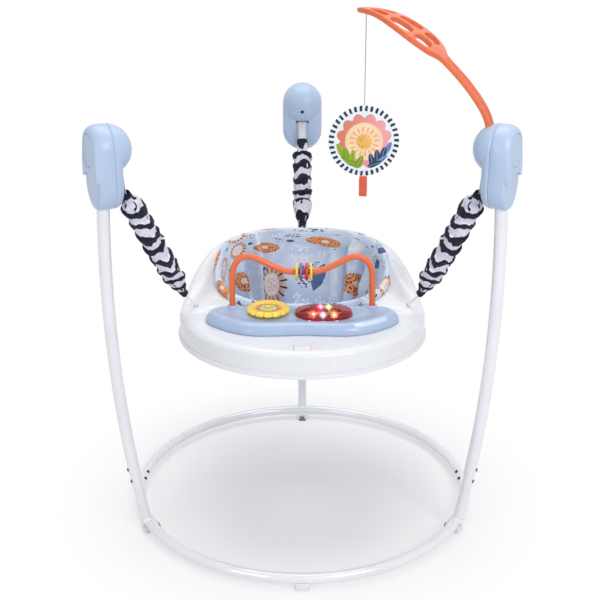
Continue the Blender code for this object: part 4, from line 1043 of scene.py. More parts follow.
def deck_point(share, angle):
    x0, y0 = superellipse(angle, *WELL)
    y0 += WELL_Y
    x = x0 + (DECK_EDGE * math.cos(angle) - x0) * share
    y = y0 + (DECK_EDGE * math.sin(angle) - y0) * share
    low = outer_height(angle)
    high = TRAY_DECK_Z + 0.5 * max(0.0, y0 + 0.030)
    height = low + (high - low) * (1 - share) ** 1.6
    cap = TRAY_DECK_Z + max(0.0, y - RECESS_Y)
    near = max(0.0, 1 - abs(height - cap) / 0.006)
    return Vector((x, y, min(height, cap) - near ** 2 * 0.0015 * smoothstep((y - RECESS_Y) / 0.02)))


def deck_height(x, y):
    return min((deck_point(i / 20, math.radians(a)) for i in range(21) for a in range(0, 360, 3)),
               key=lambda p: math.hypot(p.x - x, p.y - y)).z


def pressed(point):
    """The S-shaped crease: how far a point of the deck sinks."""
    if abs(point.x) < 0.17 or not -0.04 < point.y < 0.05:
        return 0.0
    away, i = min((math.hypot(abs(point.x) - p.x, point.y - p.y), i) for i, p in enumerate(CREASE))
    fade = min(1.0, i / 6, (len(CREASE) - 1 - i) / 5)
    return 0.0016 * fade * math.exp(-(away / 0.0026) ** 2)


edge_rows = [(math.sin(t), math.cos(t)) for t in (math.pi / 2 * i / 9 for i in range(1, 10))]
lip_rows = [(0.0, WALL_Z + 0.0030), (-0.0005, WALL_Z + 0.0018), (-0.0005, WALL_Z + 0.0010),
            (0.0008, WALL_Z + 0.0002), (0.0030, WALL_Z - 0.0010), (0.0042, WALL_Z - 0.0028),
            (LIP_OUT, LIP_Z + 0.0020), (0.0040, LIP_Z + 0.0004), (0.0028, LIP_Z)]
tray_rows = ([("skirt", t) for t in (0.028, 0.016, 0.008, WELL_ROLL)]
             + [("roll", i / 5) for i in range(5)]
             + [("deck", i / DECK_ROWS) for i in range(DECK_ROWS + 1)]
             + [("edge", row) for row in edge_rows]
             + [("wall", i / 5) for i in range(1, 5)]
             + [("lip", row) for row in lip_rows])


def tray_place(u, v):
    """Rows run from the skirt in the seat's well over the deck and its rolled edge down to the lip."""
    angle = u * math.tau
    kind, value = tray_rows[round(v * (len(tray_rows) - 1))]
    if kind == "deck":
        point = deck_point(WELL_EASE + (1 - WELL_EASE) * value ** 1.05, angle)
        return point - Vector((0, 0, pressed(point)))
    if kind in ("skirt", "roll"):
        first, rim = deck_point(0, angle), deck_point(WELL_EASE, angle)
        if kind == "skirt":
            return first - Vector((0, 0, value))
        bend, drop = (1 - wave(value * math.pi / 2) for wave in (math.cos, math.sin))
        return Vector((first.x + (rim.x - first.x) * bend, first.y + (rim.y - first.y) * bend,
                       rim.z - WELL_ROLL * drop))
    out, rim = Vector((math.cos(angle), math.sin(angle), 0)), outer_height(angle)
    if kind == "edge":
        reach, height = DECK_EDGE + (TRAY_R - DECK_EDGE) * value[0], rim - EDGE_DROP * (1 - value[1])
    elif kind == "wall":
        top = rim - EDGE_DROP
        reach, height = TRAY_R, top + (lip_rows[0][1] - top) * value
    else:
        reach, height = TRAY_R + value[0], value[1]
    return out * reach + Vector((0, 0, height))


tray = piece("tray_moulding", wrap(440, len(tray_rows) - 1, tray_place), WHITE_PLASTIC, "tray_body",
             ("tray",), at=HOME)
wall = tray.modifiers.new("skin", "SOLIDIFY")
wall.thickness = TRAY_SKIN
wall.offset = -1
cutters = []
for side, (x, y) in HOOK_SLOT.items():
    reach, deck = math.hypot(x, y), deck_height(x, y)
    slot = block((reach - 0.0030, -0.0100, deck - 0.012), (reach + 0.0040, 0.0100, deck + 0.012))
    eased(slot, [e for e in slot.edges if abs((e.verts[0].co - e.verts[1].co).z) > 0.01], 0.002)
    cutters.append(moved(slot, HOME @ Matrix.Rotation(math.atan2(y, x), 4, "Z")))
cutters.append(moved(block((-0.0181, -0.2631, 0.465), (0.0181, -0.2319, 0.490)), HOME))
carve(tray, cutters)
softened("latch_tab", "front_latch", WHITE_PLASTIC, "tray_body", 0.0005)
softened("battery_case", "battery_box", WHITE_PLASTIC, "tray_body", 0.0010)
print("tray faces", len(tray.data.polygons))

# %% [markdown]
# ## Hooks
# A slim strap comes out of each sleeve and turns down through its slot in the tray's deck.

# %% Hooks in their slots
def hook_path(side, deck):
    """The strap's middle line, and the direction of its width."""
    end = HOME @ Vector(SLEEVE_END[side])
    axis = (end - HOME @ Vector(SLEEVE_TOP[side])).normalized()
    flat = Vector((*HOOK_SLOT[side], 0))
    outward = flat.normalized()
    path = [end - axis * 0.014, end + axis * 0.004]
    for out, rise in ((0.0060, 0.0075), (0.0012, 0.0030), (0.0, -0.0040), (0.0, -0.0200)):
        path.append(HOME @ flat + outward * out + Vector((0, 0, deck + rise)))
    return path, Vector((-outward.y, outward.x, 0))


for side, (x, y) in HOOK_SLOT.items():
    path, across = hook_path(side, deck_height(x, y))
    hook = ribbon(path, (0.0030, 0.0030, 0.0050, 0.0062, 0.0068, 0.0068), across, 0.0026, 7)
    piece("hook_strap_" + side, hook, WHITE_PLASTIC, "tray_body", ("hook_" + side,))
print("hooks at deck heights", [round(deck_height(*HOOK_SLOT[s]), 4) for s in SIDES])

# %% [markdown]
# ## Seat
# The seat is a cloth bucket. It rolls over the well's edge, hangs in deep upright folds at the back and has
# two bound leg holes. The folds follow from how the cloth is gathered under the rim, so they start as
# creases in the wrapped grid, and a short cloth simulation then lets the cloth sag between them.

# %% Shape of the bucket
RIM = (0.2030, 0.1195, 2.7)
SEAT_FLOOR_Z = 0.284
ROLL = [(1.006, None), (1.010, 0.60), (1.006, 0.16), (0.996, 0.020), (0.982, -0.004), (0.968, 0.012),
        (0.956, 0.05)]
FALL = curved([(0.956, 0.0, 0), (0.930, 0.07, 0), (0.907, 0.17, 0), (0.870, 0.34, 0), (0.800, 0.57, 0),
               (0.680, 0.80, 0), (0.500, 0.93, 0), (0.260, 0.985, 0), (0.0, 1.0, 0)], 9)
CREASES = ((121.0, 0.021, 3.4, 0.00, 1.0), (131.0, -0.009, 6.0, 0.12, 0.9), (142.0, 0.014, 4.6, 0.22, 1.0),
           (104.0, -0.007, 8.0, 0.20, 0.8), (90.0, 0.007, 7.0, 0.45, 1.0), (74.0, 0.007, 3.6, 0.00, 0.40),
           (54.0, 0.021, 3.4, 0.00, 1.0), (44.0, -0.009, 6.0, 0.12, 0.9), (34.0, 0.013, 4.6, 0.20, 1.0),
           (160.0, -0.006, 7.0, 0.1, 0.9), (176.0, 0.008, 5.0, 0.1, 0.9), (14.0, -0.0055, 7.0, 0.1, 0.9),
           (-4.0, 0.008, 5.0, 0.1, 0.9), (196.0, 0.006, 5.0, 0.2, 0.9), (-22.0, 0.006, 5.0, 0.2, 0.9))
graph = bpy.context.evaluated_depsgraph_get()
deck_tree = BVHTree.FromObject(tray, graph)


def rim_height(y):
    """The seat's rim climbs towards the back in a straight line."""
    return 0.500 + 0.4727 * (y + 0.020)


def fold(degrees, drop):
    """How far the cloth is drawn in by its creases at a direction and a share of the bucket's depth."""
    total = 0.0
    for at, depth, width, start, end in CREASES:
        away = abs((degrees - at - 6 * drop * math.sin(at) + 180) % 360 - 180) / width
        grown = smoothstep((drop - start + 0.04) / 0.22) * smoothstep((1.06 - drop) / 0.35)
        total += depth * grown * smoothstep((end + 0.25 - drop) / 0.3) * math.exp(-away ** 1.3)
    return total


def seat_place(u, v):
    angle = u * math.tau - math.pi / 2
    row = round(v * (seat_rows - 1))
    x, y = superellipse(angle, *RIM)
    rim = rim_height(WELL_Y + y)
    if row < len(ROLL):
        scale, down = ROLL[row]
        above = HOME @ Vector((x * 1.006, WELL_Y + y * 1.006, 0.8))
        hit = deck_tree.ray_cast(above, Vector((0, 0, -1)))[0]
        deck = (hit.z if hit else rim - 0.015) + 0.0014
        height = deck if down is None else rim - down * (rim - deck)
        ripple = 0.0008 * math.sin(angle * 41) * math.sin(angle * 7 + 1)
        return Vector((x * (scale + ripple / 0.2), WELL_Y + y * (scale + ripple / 0.2), height))
    scale, drop, _ = FALL[row - len(ROLL) + 1]
    top = rim - 0.0009
    height = top - drop * (top - SEAT_FLOOR_Z)
    drawn = fold(math.degrees(angle), drop)
    spot = Vector((math.cos(angle) * 3, math.sin(angle) * 3, drop * 3))
    wave = 0.0022 * noise.noise(spot) * smoothstep(drop / 0.2)
    inwards = Vector((x, y)).normalized() * (drawn + wave) * (1 if scale > 0.05 else 0)
    return Vector((x * scale - inwards.x, WELL_Y + y * scale - inwards.y, height))


seat_rows = len(ROLL) + len(FALL) - 1
bm = wrap(288, seat_rows - 1, seat_place)
# Painted shade: each point stores how much darker the cloth is painted in the valleys beside its creases, on
# one side of each ridge and further down in the bucket, where shade falls.
shade_layer = bm.verts.layers.float.new("shade")
uv_layer = bm.loops.layers.uv["UVMap"]
for vert in bm.verts:
    if vert.link_loops:
        at = vert.link_loops[0][uv_layer].uv
        row = round(at.y * (seat_rows - 1)) - len(ROLL) + 1
        degrees = at.x * 360 - 90
        if row > 0:
            drop = FALL[row].y
            beside = [fold(degrees + away, drop) for away in (-12, -8, -5, -3, 3, 5, 8, 12)]
            lower = max(0.0, sum(beside) / len(beside) - fold(degrees, drop))
            slope = max(0.0, fold(degrees - 1.5, drop) - fold(degrees + 1.5, drop))
            vert[shade_layer] = min(1.0, lower * 150 + slope * 130 + 0.25 * smoothstep(drop / 0.5))
LEG_HOLE_R = 0.045
LEG_HOLES = {}
for side, way in (("left", -1), ("right", 1)):
    direction = Vector((way * 0.30, -0.80, -0.52)).normalized()
    LEG_HOLES[side] = (HOME @ Vector((way * 0.055, 0.050, 0.372)), direction)


def from_axis(point, hole):
    """How far a point is along a leg hole's axis, and its offset from that axis."""
    start, direction = hole
    along_axis = (point - start).dot(direction)
    return along_axis, point - start - direction * along_axis


moved(bm, HOME)
for hole in LEG_HOLES.values():
    gone = []
    for face in bm.faces:
        along_axis, offset = from_axis(face.calc_center_median(), hole)
        if along_axis > 0 and offset.length < LEG_HOLE_R:
            gone.append(face)
    bmesh.ops.delete(bm, geom=gone, context="FACES")
    for vert in bm.verts:
        along_axis, offset = from_axis(vert.co, hole)
        if vert.is_boundary and along_axis > 0 and offset.length < LEG_HOLE_R * 1.3:
            vert.co += offset * (LEG_HOLE_R / offset.length - 1)
print("seat rows", seat_rows, "faces", len(bm.faces))

# %% [markdown]
# ## Seat cloth
# The print is an all-over pattern: a watery blue-grey ground with suns, speckled pebbles, navy leaves, pale
# moons and groups of short dashes. Each cell of a Voronoi pattern gets one motif, picked by the cell's own
# colour and drawn from its distance and direction to the cell's middle. Over the print goes the painted shade
# that the seat's points store for its creases and its depth.

# %% Print
def seat_print():
    f = Finish("seat_cloth", Sheen_Weight=0.15, Specular_IOR_Level=0.28)
    scaled = f.uv * (11.0, 4.9, 1.0)
    wash = f.noise(1.3, 4, scaled, 0.6, 0.6)
    ground = f.mix(f.range(wash, 0.35, 0.65), linear(0.740, 0.815, 0.905), linear(0.880, 0.925, 0.965))
    lilac = f.range(f.noise(0.9, 2, scaled + (7.0, 3.0, 0.0)), 0.45, 0.70, 0.0, 0.5)
    ground = f.mix(lilac, ground, linear(0.800, 0.815, 0.900))
    layer = {"seen": ground, "bare": 1.0}
    # The painted shade that the seat's points store, read back here.
    crease = f.node("Attribute", 2, {"attribute_name": "shade"})

    def both(*masks):
        total = masks[0]
        for mask in masks[1:]:
            total = total * mask
        return total

    def lay(colour, *masks):
        """Paints a colour where every mask holds, and notes that the cloth isn't bare there."""
        mask = both(*masks)
        layer["seen"] = f.mix(mask, layer["seen"], linear(*colour) if isinstance(colour, tuple) else colour)
        layer["bare"] = f.math("MULTIPLY", layer["bare"], 1.0 - mask)

    def scatter(vector, size, loose):
        """Cells with one motif each: the place in the cell, the distance to its middle and a random pick."""
        cells = f.dots(vector, size, loose, plane=True)
        place = f.vector_math("SCALE", f.vector_math("SUBTRACT", vector, cells.also("Position")), Scale=size)
        return f.spun(place, 0.35), f.length(place), f.node("SeparateColor", 0, None, (cells.also("Color"),))

    spin, radius, pick = scatter(scaled, 1.0, 0.40)
    x, y = f.part(spin, 0), f.part(spin, 1)
    turn = f.turn(spin)
    wobble = (f.noise(6.5, 2, scaled) - 0.5) * 0.07
    ragged = radius + wobble
    specks = f.dots(scaled, 19.0, 0.9, plane=True) < 0.30
    dash = f.dots(f.spun(scaled, 0.6) * (15.0, 5.5, 1.0), 1.0, 0.6, plane=True) < 0.26

    def chosen(value, low, high):
        return both(value > low, value < high)

    sun = chosen(pick, 0.0, 0.30)
    ray = f.wave(turn, 15) > 0.72
    lay((0.880, 0.715, 0.620), sun, ragged < 0.335 + abs(f.wave(turn, 7.5)) * 0.03)
    lay((0.170, 0.150, 0.200), sun, ray, radius > 0.245, radius < 0.385)
    lay((0.915, 0.905, 0.905), sun, ragged < 0.220)
    lay((0.940, 0.660, 0.500), sun, specks, radius < 0.15)
    pebble = chosen(pick, 0.30, 0.52)
    oval = f.length(spin * (0.85, 1.45, 1.0))
    shape = oval + wobble < 0.315
    lay((0.965, 0.640, 0.430), pebble, shape)
    lay((0.200, 0.150, 0.190), pebble, shape, specks)
    lay((0.960, 0.875, 0.810), pebble, oval < 0.09)
    leafy = chosen(pick, 0.52, 0.68)
    blade = abs(x) * 2.1 + y * y * 2.6 + wobble * 2.4
    navy = f.mix(f.range(wash, 0.3, 0.7), linear(0.220, 0.290, 0.470), linear(0.380, 0.470, 0.650))
    lay(navy, leafy, blade < 0.27, abs(y) < 0.31)
    lay((0.250, 0.285, 0.410), leafy, specks, abs(x - 0.22) < 0.12, radius < 0.34)
    moon = chosen(pick, 0.68, 0.84)
    bite = f.length(spin - (0.11, -0.07, 0.0))
    lay((0.940, 0.950, 0.950), moon, bite > 0.145, ragged < 0.215)
    lay((0.200, 0.200, 0.290), chosen(pick, 0.84, 1.01), dash, radius < 0.26)
    layer["bare"] = both(layer["bare"], radius > 0.36)
    _, small, first = scatter(scaled + (2.3, 0.7, 0.0), 3.1, 0.85)
    for colour, low, high, masks in (((0.945, 0.960, 0.985), 0.0, 0.45, (specks, small < 0.42)),
                                     ((0.930, 0.700, 0.760), 0.45, 0.56, (small < 0.17,)),
                                     ((0.225, 0.225, 0.310), 0.56, 0.68, (dash, small < 0.40)),
                                     ((0.300, 0.370, 0.540), 0.68, 0.78, (small < 0.20,)),
                                     ((0.940, 0.950, 0.970), 0.78, 0.86, (small < 0.15,))):
        lay(colour, layer["bare"], chosen(first, low, high), *masks)
    # Painted shade: the print is multiplied towards a dusky lilac where the stored shade is high.
    shaded = f.mix(crease * 0.46, layer["seen"], linear(0.56, 0.58, 0.72), blend="MULTIPLY")
    return f.paint(shaded, (30, 3, 0.62, 0.78, scaled), weave(f, 900, 360, 0.00006))


SEAT_CLOTH = seat_print()
seat = piece("seat_bucket", bm, SEAT_CLOTH, "tray_body", ("seat_fabric",), sharp=180)
print("seat print nodes", len(SEAT_CLOTH.node_tree.nodes))

# %% [markdown]
# ## Sagging cloth
# Only the rolled rim is pinned. The cloth is let go a little longer than the bucket is deep, and hangs for
# some frames, so that it sags between its creases as the real seat does.

# %% Cloth simulation
def draped(obj, pinned, frames, slack):
    """Lets the cloth hang for some frames, longer than drawn by the slack, and keeps the shape it takes."""
    group = obj.vertex_groups.new(name="pin")
    for index, weight in pinned:
        group.add([index], weight, "REPLACE")
    cloth = obj.modifiers.new("cloth", "CLOTH")
    settings = cloth.settings
    settings.quality = 6
    settings.mass = 0.12
    settings.tension_stiffness = settings.compression_stiffness = 25
    settings.shear_stiffness = 12.5
    settings.bending_stiffness = 0.8
    settings.tension_damping = settings.compression_damping = 12
    settings.air_damping = 4
    settings.vertex_group_mass = "pin"
    settings.shrink_min = -slack
    settings.effector_weights.gravity = 0.22
    cloth.point_cache.frame_end = frames
    for frame_number in range(1, frames + 1):
        scene.frame_set(frame_number)
    settled(obj)
    obj.vertex_groups.clear()
    scene.frame_set(1)
    smooth(obj.data, 180)


def pin_weight(place):
    """1 at the rolled rim, and 0 from a little below it."""
    return max(0.0, min(1.0, (place.z - rim_height(place.y - CENTRE.y) + 0.030) / 0.022))


weights = [(v.index, pin_weight(v.co)) for v in seat.data.vertices]
draped(seat, [(i, w) for i, w in weights if w > 0], 12, 0.006)


def rim_loop(obj, hole):
    """The points round a leg hole's edge, in order."""
    bm = bmesh.new()
    bm.from_mesh(obj.data)
    beside = {}
    for edge in bm.edges:
        along_axis, offset = from_axis(edge.verts[0].co, hole)
        if edge.is_boundary and along_axis > 0 and offset.length < LEG_HOLE_R * 1.6:
            for vert in edge.verts:
                beside.setdefault(vert.index, []).append(edge.other_vert(vert).index)
    bm.verts.ensure_lookup_table()
    path, last = [min(beside)], None
    while len(path) < len(beside):
        onward = [i for i in beside[path[-1]] if i != last]
        last = path[-1]
        path.append(onward[0])
    points = [bm.verts[i].co.copy() for i in path]
    bm.free()
    return points


for side, hole in LEG_HOLES.items():
    loop = rim_loop(seat, hole)
    evened = [(loop[i - 1] + loop[i] * 2 + loop[(i + 1) % len(loop)]) / 4 for i in range(len(loop))]
    piece("leg_hole_binding_" + side, bar(evened + evened[:2], 0.0028, 12), SEAT_CLOTH, "tray_body")
thickened(seat, 0.0022, 1, 180)
area = sum(p.area for p in seat.data.polygons) / 2
print("seat cloth area", round(area, 3), "faces", len(seat.data.polygons))

# %% [markdown]
# ## Console
# The pale blue console is a crescent with a broad round shoulder, a long shallow window in the shoulder at
# its right end and a slightly dished floor. Its outline is one closed curve. The shoulder's rows are that
# curve drawn in along its own normal, so that the rounding is even all round.

# %% Crescent with a round shoulder
CONSOLE_LOW = 0.4772
CONSOLE_TOP = 0.5010
CONSOLE_FLOOR = CONSOLE_TOP - 0.0012
SHOULDER = 0.0198
WINDOW_U = (0.247, 0.262, 0.343, 0.362)
WINDOW_V = (0.44, 0.49, 0.68, 0.74)
BAR_FOOT = (0.1545, -0.069)
SPIN_XY = (-0.074, -0.106)
half = [(0.060, -0.0530), (0.165, -0.0525), (0.1970, -0.0640), (0.2105, -0.0900), (0.2070, -0.1130),
        (0.1820, -0.1440), (0.1400, -0.1745), (0.1000, -0.1880), (0.0450, -0.1870)]
corners = half + [(0, -0.1835)] + [(-x, y) for x, y in reversed(half)]
outline = curved([(x, y, 0) for x, y in corners], 14, closed=True)
count = len(outline)
inward = []
for i in range(count):
    run = (outline[(i + 2) % count] - outline[i - 2]).normalized()
    inward.append(Vector((run.y, -run.x, 0)))
console_rows = [(0.0022, 0.0), (0.0006, 0.0006), (0.0, 0.0018), (0.0, 0.0040)]
console_rows += [(SHOULDER * (1 - math.cos(t)), 0.0040 + SHOULDER * math.sin(t))
                 for t in (math.pi / 2 * i / 14 for i in range(1, 15))]
console_rows += [(SHOULDER + 0.0015, 0.02375), (SHOULDER + 0.0030, 0.0232), (SHOULDER + 0.0045, 0.0226)]


def rise_and_fall(value, edges):
    low, full, last, high = edges
    return smoothstep((value - low) / (full - low)) * smoothstep((high - value) / (high - last))


def console_place(u, v):
    i = round(u * count) % count
    inset, lift = console_rows[round(v * (len(console_rows) - 1))]
    point = outline[i] + inward[i] * inset
    window = rise_and_fall(u, WINDOW_U) * rise_and_fall(v, WINDOW_V)
    return Vector((point.x, point.y, CONSOLE_LOW + lift - 0.0009 * window))


def console_finish():
    """The moulded blue, with a glossier window on the right shoulder, found on the UV map; the window is also
    painted lighter, as a painted highlight.
    """
    f = Finish("pale_blue_gloss", Coat_Weight=0.25, Coat_Roughness=0.10)
    shade = f.cloud(linear(0.645, 0.722, 0.838), linear(0.665, 0.742, 0.856), 14, 3, 0.35, 0.65)
    masks = []
    for output, edges in ((0, WINDOW_U), (1, WINDOW_V)):
        place = f.part(f.uv, output)
        low, full, last, high = edges
        masks.append(f.range(place, low, full, smooth_step=True)
                     * f.range(place, last, high, 1.0, 0.0, smooth_step=True))
    window = f.range(masks[0] * masks[1], 0.25, 0.75)
    rough = f.range(f.noise(45, 3), 0.3, 0.7, 0.30, 0.34)
    # Painted highlight: the window's colour is lifted to a lighter blue, while its lower roughness is the
    # real gloss.
    shade = f.mix(window, shade, linear(0.790, 0.875, 0.980))
    return f.paint(shade, rough - window * 0.18, (900, 0.000006))


bm = shut(wrap(count, len(console_rows) - 1, console_place))
console = piece("console_shell", bm, console_finish(), "tray_body", ("console",), at=HOME)
tools = [moved(plug(0.0033, -0.008, 0.006), HOME @ Matrix.Translation((*SPIN_XY, CONSOLE_FLOOR)))]
for way in (-1, 1):
    foot = HOME @ Matrix.Translation((way * BAR_FOOT[0], BAR_FOOT[1], CONSOLE_FLOOR))
    tools.append(moved(plug(0.0071, -0.0105, 0.020), foot))
carve(console, tools)
COLLAR = [(0.0072, 0.0005), (0.0072, 0.0046), (0.0080, 0.0053), (0.0104, 0.0053), (0.0117, 0.0044),
          (0.0121, 0.0030), (0.0124, 0.0005), (0.0072, 0.0005)]
for label, way in (("left", -1), ("right", 1)):
    foot = HOME @ Matrix.Translation((way * BAR_FOOT[0], BAR_FOOT[1], CONSOLE_FLOOR - 0.0005))
    piece("bar_collar_" + label, turned(COLLAR, 48), PALE_BLUE, "tray_body", at=foot)
print("console outline points", count)

# %% [markdown]
# ## Bead bar and discs
# The orange bar is one bent tube. Four thin discs slide loosely on its dip, each on its own body.

# %% Bar and discs
BAR_HALF = [(0, 0.5812), (0.033, 0.5828), (0.061, 0.5925), (0.088, 0.6060), (0.110, 0.6155), (0.129, 0.6145),
            (0.1430, 0.6045), (0.1515, 0.5860), (0.1540, 0.5600), (0.1545, 0.5300), (0.1545, 0.4895)]
bends = [(-x, z) for x, z in reversed(BAR_HALF[1:])] + BAR_HALF
bm = bar(curved([(x, BAR_FOOT[1], z) for x, z in bends], 9), 0.0068, 32, 0.0010)
piece("orange_bar", bm, ORANGE, "tray_body", ("bead_bar",), at=HOME)


def glossy(name, colour):
    return plain(name, towards(colour, 0, 0.08), colour, (60, 2), (110, 3, 0.20, 0.32), (1100, 0.00002),
                 Coat_Weight=0.35, Coat_Roughness=0.06)


YELLOW = glossy("yellow_plastic", linear(0.965, 0.845, 0.195))
PURPLE = glossy("purple_plastic", linear(0.47, 0.36, 0.66))
RED = glossy("red_plastic", linear(0.835, 0.155, 0.115))
discs = (("yellow_left", -0.0118, 0.0060, YELLOW), ("purple", -0.0028, 0.0070, PURPLE),
         ("red", 0.0098, 0.0080, RED), ("yellow_right", 0.0192, 0.0060, YELLOW))
for label, x, thick, colour in discs:
    h = thick / 2
    rim = [(0.0080, 0.75), (0.0083, 1), (0.0150, 1), (0.0182, 0.90), (0.0194, 0.62)]
    profile = [(r, h * k) for r, k in rim] + [(0.0200, 0)] + [(r, -h * k) for r, k in reversed(rim)]
    node = "bead_disc_" + label
    piece("disc_" + label, turned(profile + profile[:1], 56, "X"), colour, node + "_body", (node,),
          at=HOME @ Matrix.Translation((x, BAR_FOOT[1], 0.5815)))
print("discs", len(discs))

# %% [markdown]
# ## Spinner
# The wheel is clear yellow plastic with scalloped edges, a raised rim and a bowl with rays. A disc under the
# bowl carries green and white arcs that show through it. A yellow pin with a domed cap holds the wheel.

# %% Spinner and its pin
SPIN_AT = HOME @ Matrix.Translation((*SPIN_XY, CONSOLE_FLOOR + 0.0012))
LOBES = 14
spin_rows = [(0.0036, 0.0030), (0.0036, 0.0108), (0.0046, 0.0116), (0.0100, 0.0118), (0.0140, 0.0105),
             (0.0200, 0.0096), (0.0260, 0.0092), (0.0310, 0.0100), (0.0338, 0.0126), (0.0356, 0.0138),
             (0.0385, 0.0140), (0.0415, 0.0138), (0.0440, 0.0125), (0.0458, 0.0105), (0.0467, 0.0088),
             (0.0470, 0.0068), (0.0466, 0.0050), (0.0448, 0.0034), (0.0415, 0.0018), (0.0380, 0.0008),
             (0.0300, 0.0004), (0.0120, 0.0004), (0.0060, 0.0014), (0.0036, 0.0030)]


def spin_place(u, v):
    angle = u * math.tau
    radius, height = spin_rows[round(v * (len(spin_rows) - 1))]
    lobe = abs(math.sin(angle * LOBES / 2))
    reach = smoothstep((radius - 0.026) / 0.016)
    radius *= 1 - 0.085 * (1 - lobe) ** 2 * reach
    if 0.0120 < radius < 0.0330 and height > 0.006:
        height += 0.0010 * math.cos(angle * LOBES) * math.sin(math.pi * (radius - 0.012) / 0.021)
    return Vector((radius * math.cos(angle), radius * math.sin(angle), height))


def round_the_pin(f):
    """The distance from the spinner's axis, and the share of a turn round it."""
    flat = (f.object - tuple(SPIN_AT.translation)) * (1, 1, 0)
    return f.length(flat), f.turn(flat)


def on_screen(*stops):
    return [(place, linear(*colour)) for place, *colour in stops]


def lemon():
    """Clear yellow that glows faintly in its own colours as painted light; lighter towards the lobes and the
    rim, amber in the bowl, with a green arc.
    """
    # Painted light: Emission_Strength with the wheel's own colour as Emission_Color makes it glow, standing
    # in for light through the clear plastic.
    f = Finish("yellow_clear_plastic", IOR=1.45, Transmission_Weight=0.25, Coat_Weight=0.6,
               Coat_Roughness=0.04, Emission_Strength=0.16)
    radius, turn = round_the_pin(f)
    stops = on_screen((0.0, 0.86, 0.93, 0.66), (0.20, 0.55, 0.77, 0.22), (0.30, 0.84, 0.91, 0.52),
                      (0.40, 0.74, 0.44, 0.05), (0.54, 0.84, 0.55, 0.05), (0.66, 0.98, 0.87, 0.20),
                      (0.78, 0.93, 0.72, 0.06), (0.90, 1.0, 0.93, 0.35))
    bands = f.ramp(f.range(radius, 0.0, 0.050), *stops)
    ribs = f.range(f.wave(turn, LOBES * 2), -0.4, 0.8)
    outer_part = f.range(radius, 0.026, 0.030)
    shade = f.mix(ribs * (outer_part * 0.35), bands, linear(0.84, 0.62, 0.03))
    spokes = f.range(f.wave(turn, 7), 0.5, 0.9, 0.0, 0.55)
    bowl = f.range(radius, 0.019, 0.021) * f.range(radius, 0.027, 0.029, 1.0, 0.0)
    shade = f.mix(spokes * bowl, shade, linear(0.60, 0.28, 0.05))
    # The colour is also emitted, as painted light.
    return f.paint(shade, (120, 3, 0.08, 0.14), (900, 0.00001), Emission_Color=shade)


YELLOW_CLEAR = lemon()
wheel = piece("spinner_wheel", wrap(196, len(spin_rows) - 1, spin_place), YELLOW_CLEAR, "spinner_body",
              ("spinner",), at=SPIN_AT, sharp=60)


def arcs():
    """Concentric arcs, green and white over amber, for the disc under the bowl."""
    f = Finish("spinner_arcs")
    radius, turn = round_the_pin(f)
    stops = on_screen((0.0, 0.95, 0.62, 0.10), (0.22, 0.93, 0.95, 0.80), (0.40, 0.60, 0.80, 0.22),
                      (0.62, 0.90, 0.93, 0.55), (0.80, 0.93, 0.60, 0.12))
    bands = f.ramp(f.range(radius, 0.008, 0.036), *stops, mode="CONSTANT")
    petals = f.range(f.wave(turn, 7), -0.2, 0.2, 0.0, 0.75)
    return f.paint(f.mix(petals, bands, linear(0.955, 0.70, 0.12)), (90, 2, 0.4, 0.5))


decal = turned([(0.0064, 0.0022), (0.0330, 0.0022), (0.0330, 0.0030), (0.0064, 0.0030), (0.0064, 0.0022)], 64)
piece("spinner_arc_disc", decal, arcs(), "spinner_body", at=SPIN_AT)
cap = [(0, 0.0166), (0.0028, 0.0164), (0.0048, 0.0158), (0.0060, 0.0149), (0.0065, 0.0140), (0.0062, 0.0136),
       (0.0030, 0.0136), (0.0030, -0.0060), (0, -0.0060)]
piece("spinner_pin", turned(cap, 40), YELLOW, "tray_body", ("spinner_axle",),
      at=HOME @ Matrix.Translation((*SPIN_XY, CONSOLE_FLOOR)))
print("spinner faces", len(wheel.data.polygons))

# %% [markdown]
# ## Light dome
# A clear red bean-shaped dome presses down over a small board with five lamps. The lamps glow through it,
# and a painted glow with soft rays round each lamp is laid into the plastic's emission.

# %% Dome, board and lamps
DOME_AT = (0.0465, -0.1160)
DOME_LOW = 0.5005
DOME_TOP = 0.5205
WELL_FLOOR = 0.4962
DOME_HALF = (0.0625, 0.0385)
WELL_HALF = (0.0633, 0.0393)
DOME_POWER = 2.3
BEAN = 0.006


def dome_place(skin):
    def place(u, v):
        angle = u * math.tau
        turn = v * math.pi / 2
        reach, lift = math.sin(turn) ** 0.92, math.cos(turn)
        x, y = superellipse(angle, DOME_HALF[0] - skin, DOME_HALF[1] - skin, DOME_POWER)
        x, y = x * reach, y * reach - BEAN * (1 - (x * reach / DOME_HALF[0]) ** 2)
        height = DOME_LOW + (DOME_TOP - skin - DOME_LOW) * lift ** 0.66
        height += 0.00035 * math.cos(angle * 11) * math.sin(math.pi * reach) * (lift > 0)
        return Vector((DOME_AT[0] + x, DOME_AT[1] + y, height))
    return place


DOME_SKIN = 0.0018
outer = wrap(144, 28, dome_place(0.0))
inner = wrap(144, 28, dome_place(DOME_SKIN))
bmesh.ops.reverse_faces(inner, faces=inner.faces)
shell = bpy.data.meshes.new("dome_inner")
inner.to_mesh(shell)
inner.free()
outer.from_mesh(shell)
rims = [e for e in outer.edges if e.is_boundary]
bmesh.ops.bridge_loops(outer, edges=rims)
bmesh.ops.recalc_face_normals(outer, faces=outer.faces)
GLOWS = (((0.0244, -0.1526, 0.5135), linear(1.0, 0.50, 0.22)),
         ((0.0442, -0.1562, 0.5128), linear(0.68, 0.86, 1.0)),
         ((0.0679, -0.1538, 0.5128), linear(1.0, 0.74, 0.25)),
         ((0.0396, -0.1246, 0.5204), linear(1.0, 0.50, 0.75)),
         ((0.0565, -0.1257, 0.5203), linear(0.42, 1.0, 0.55)))


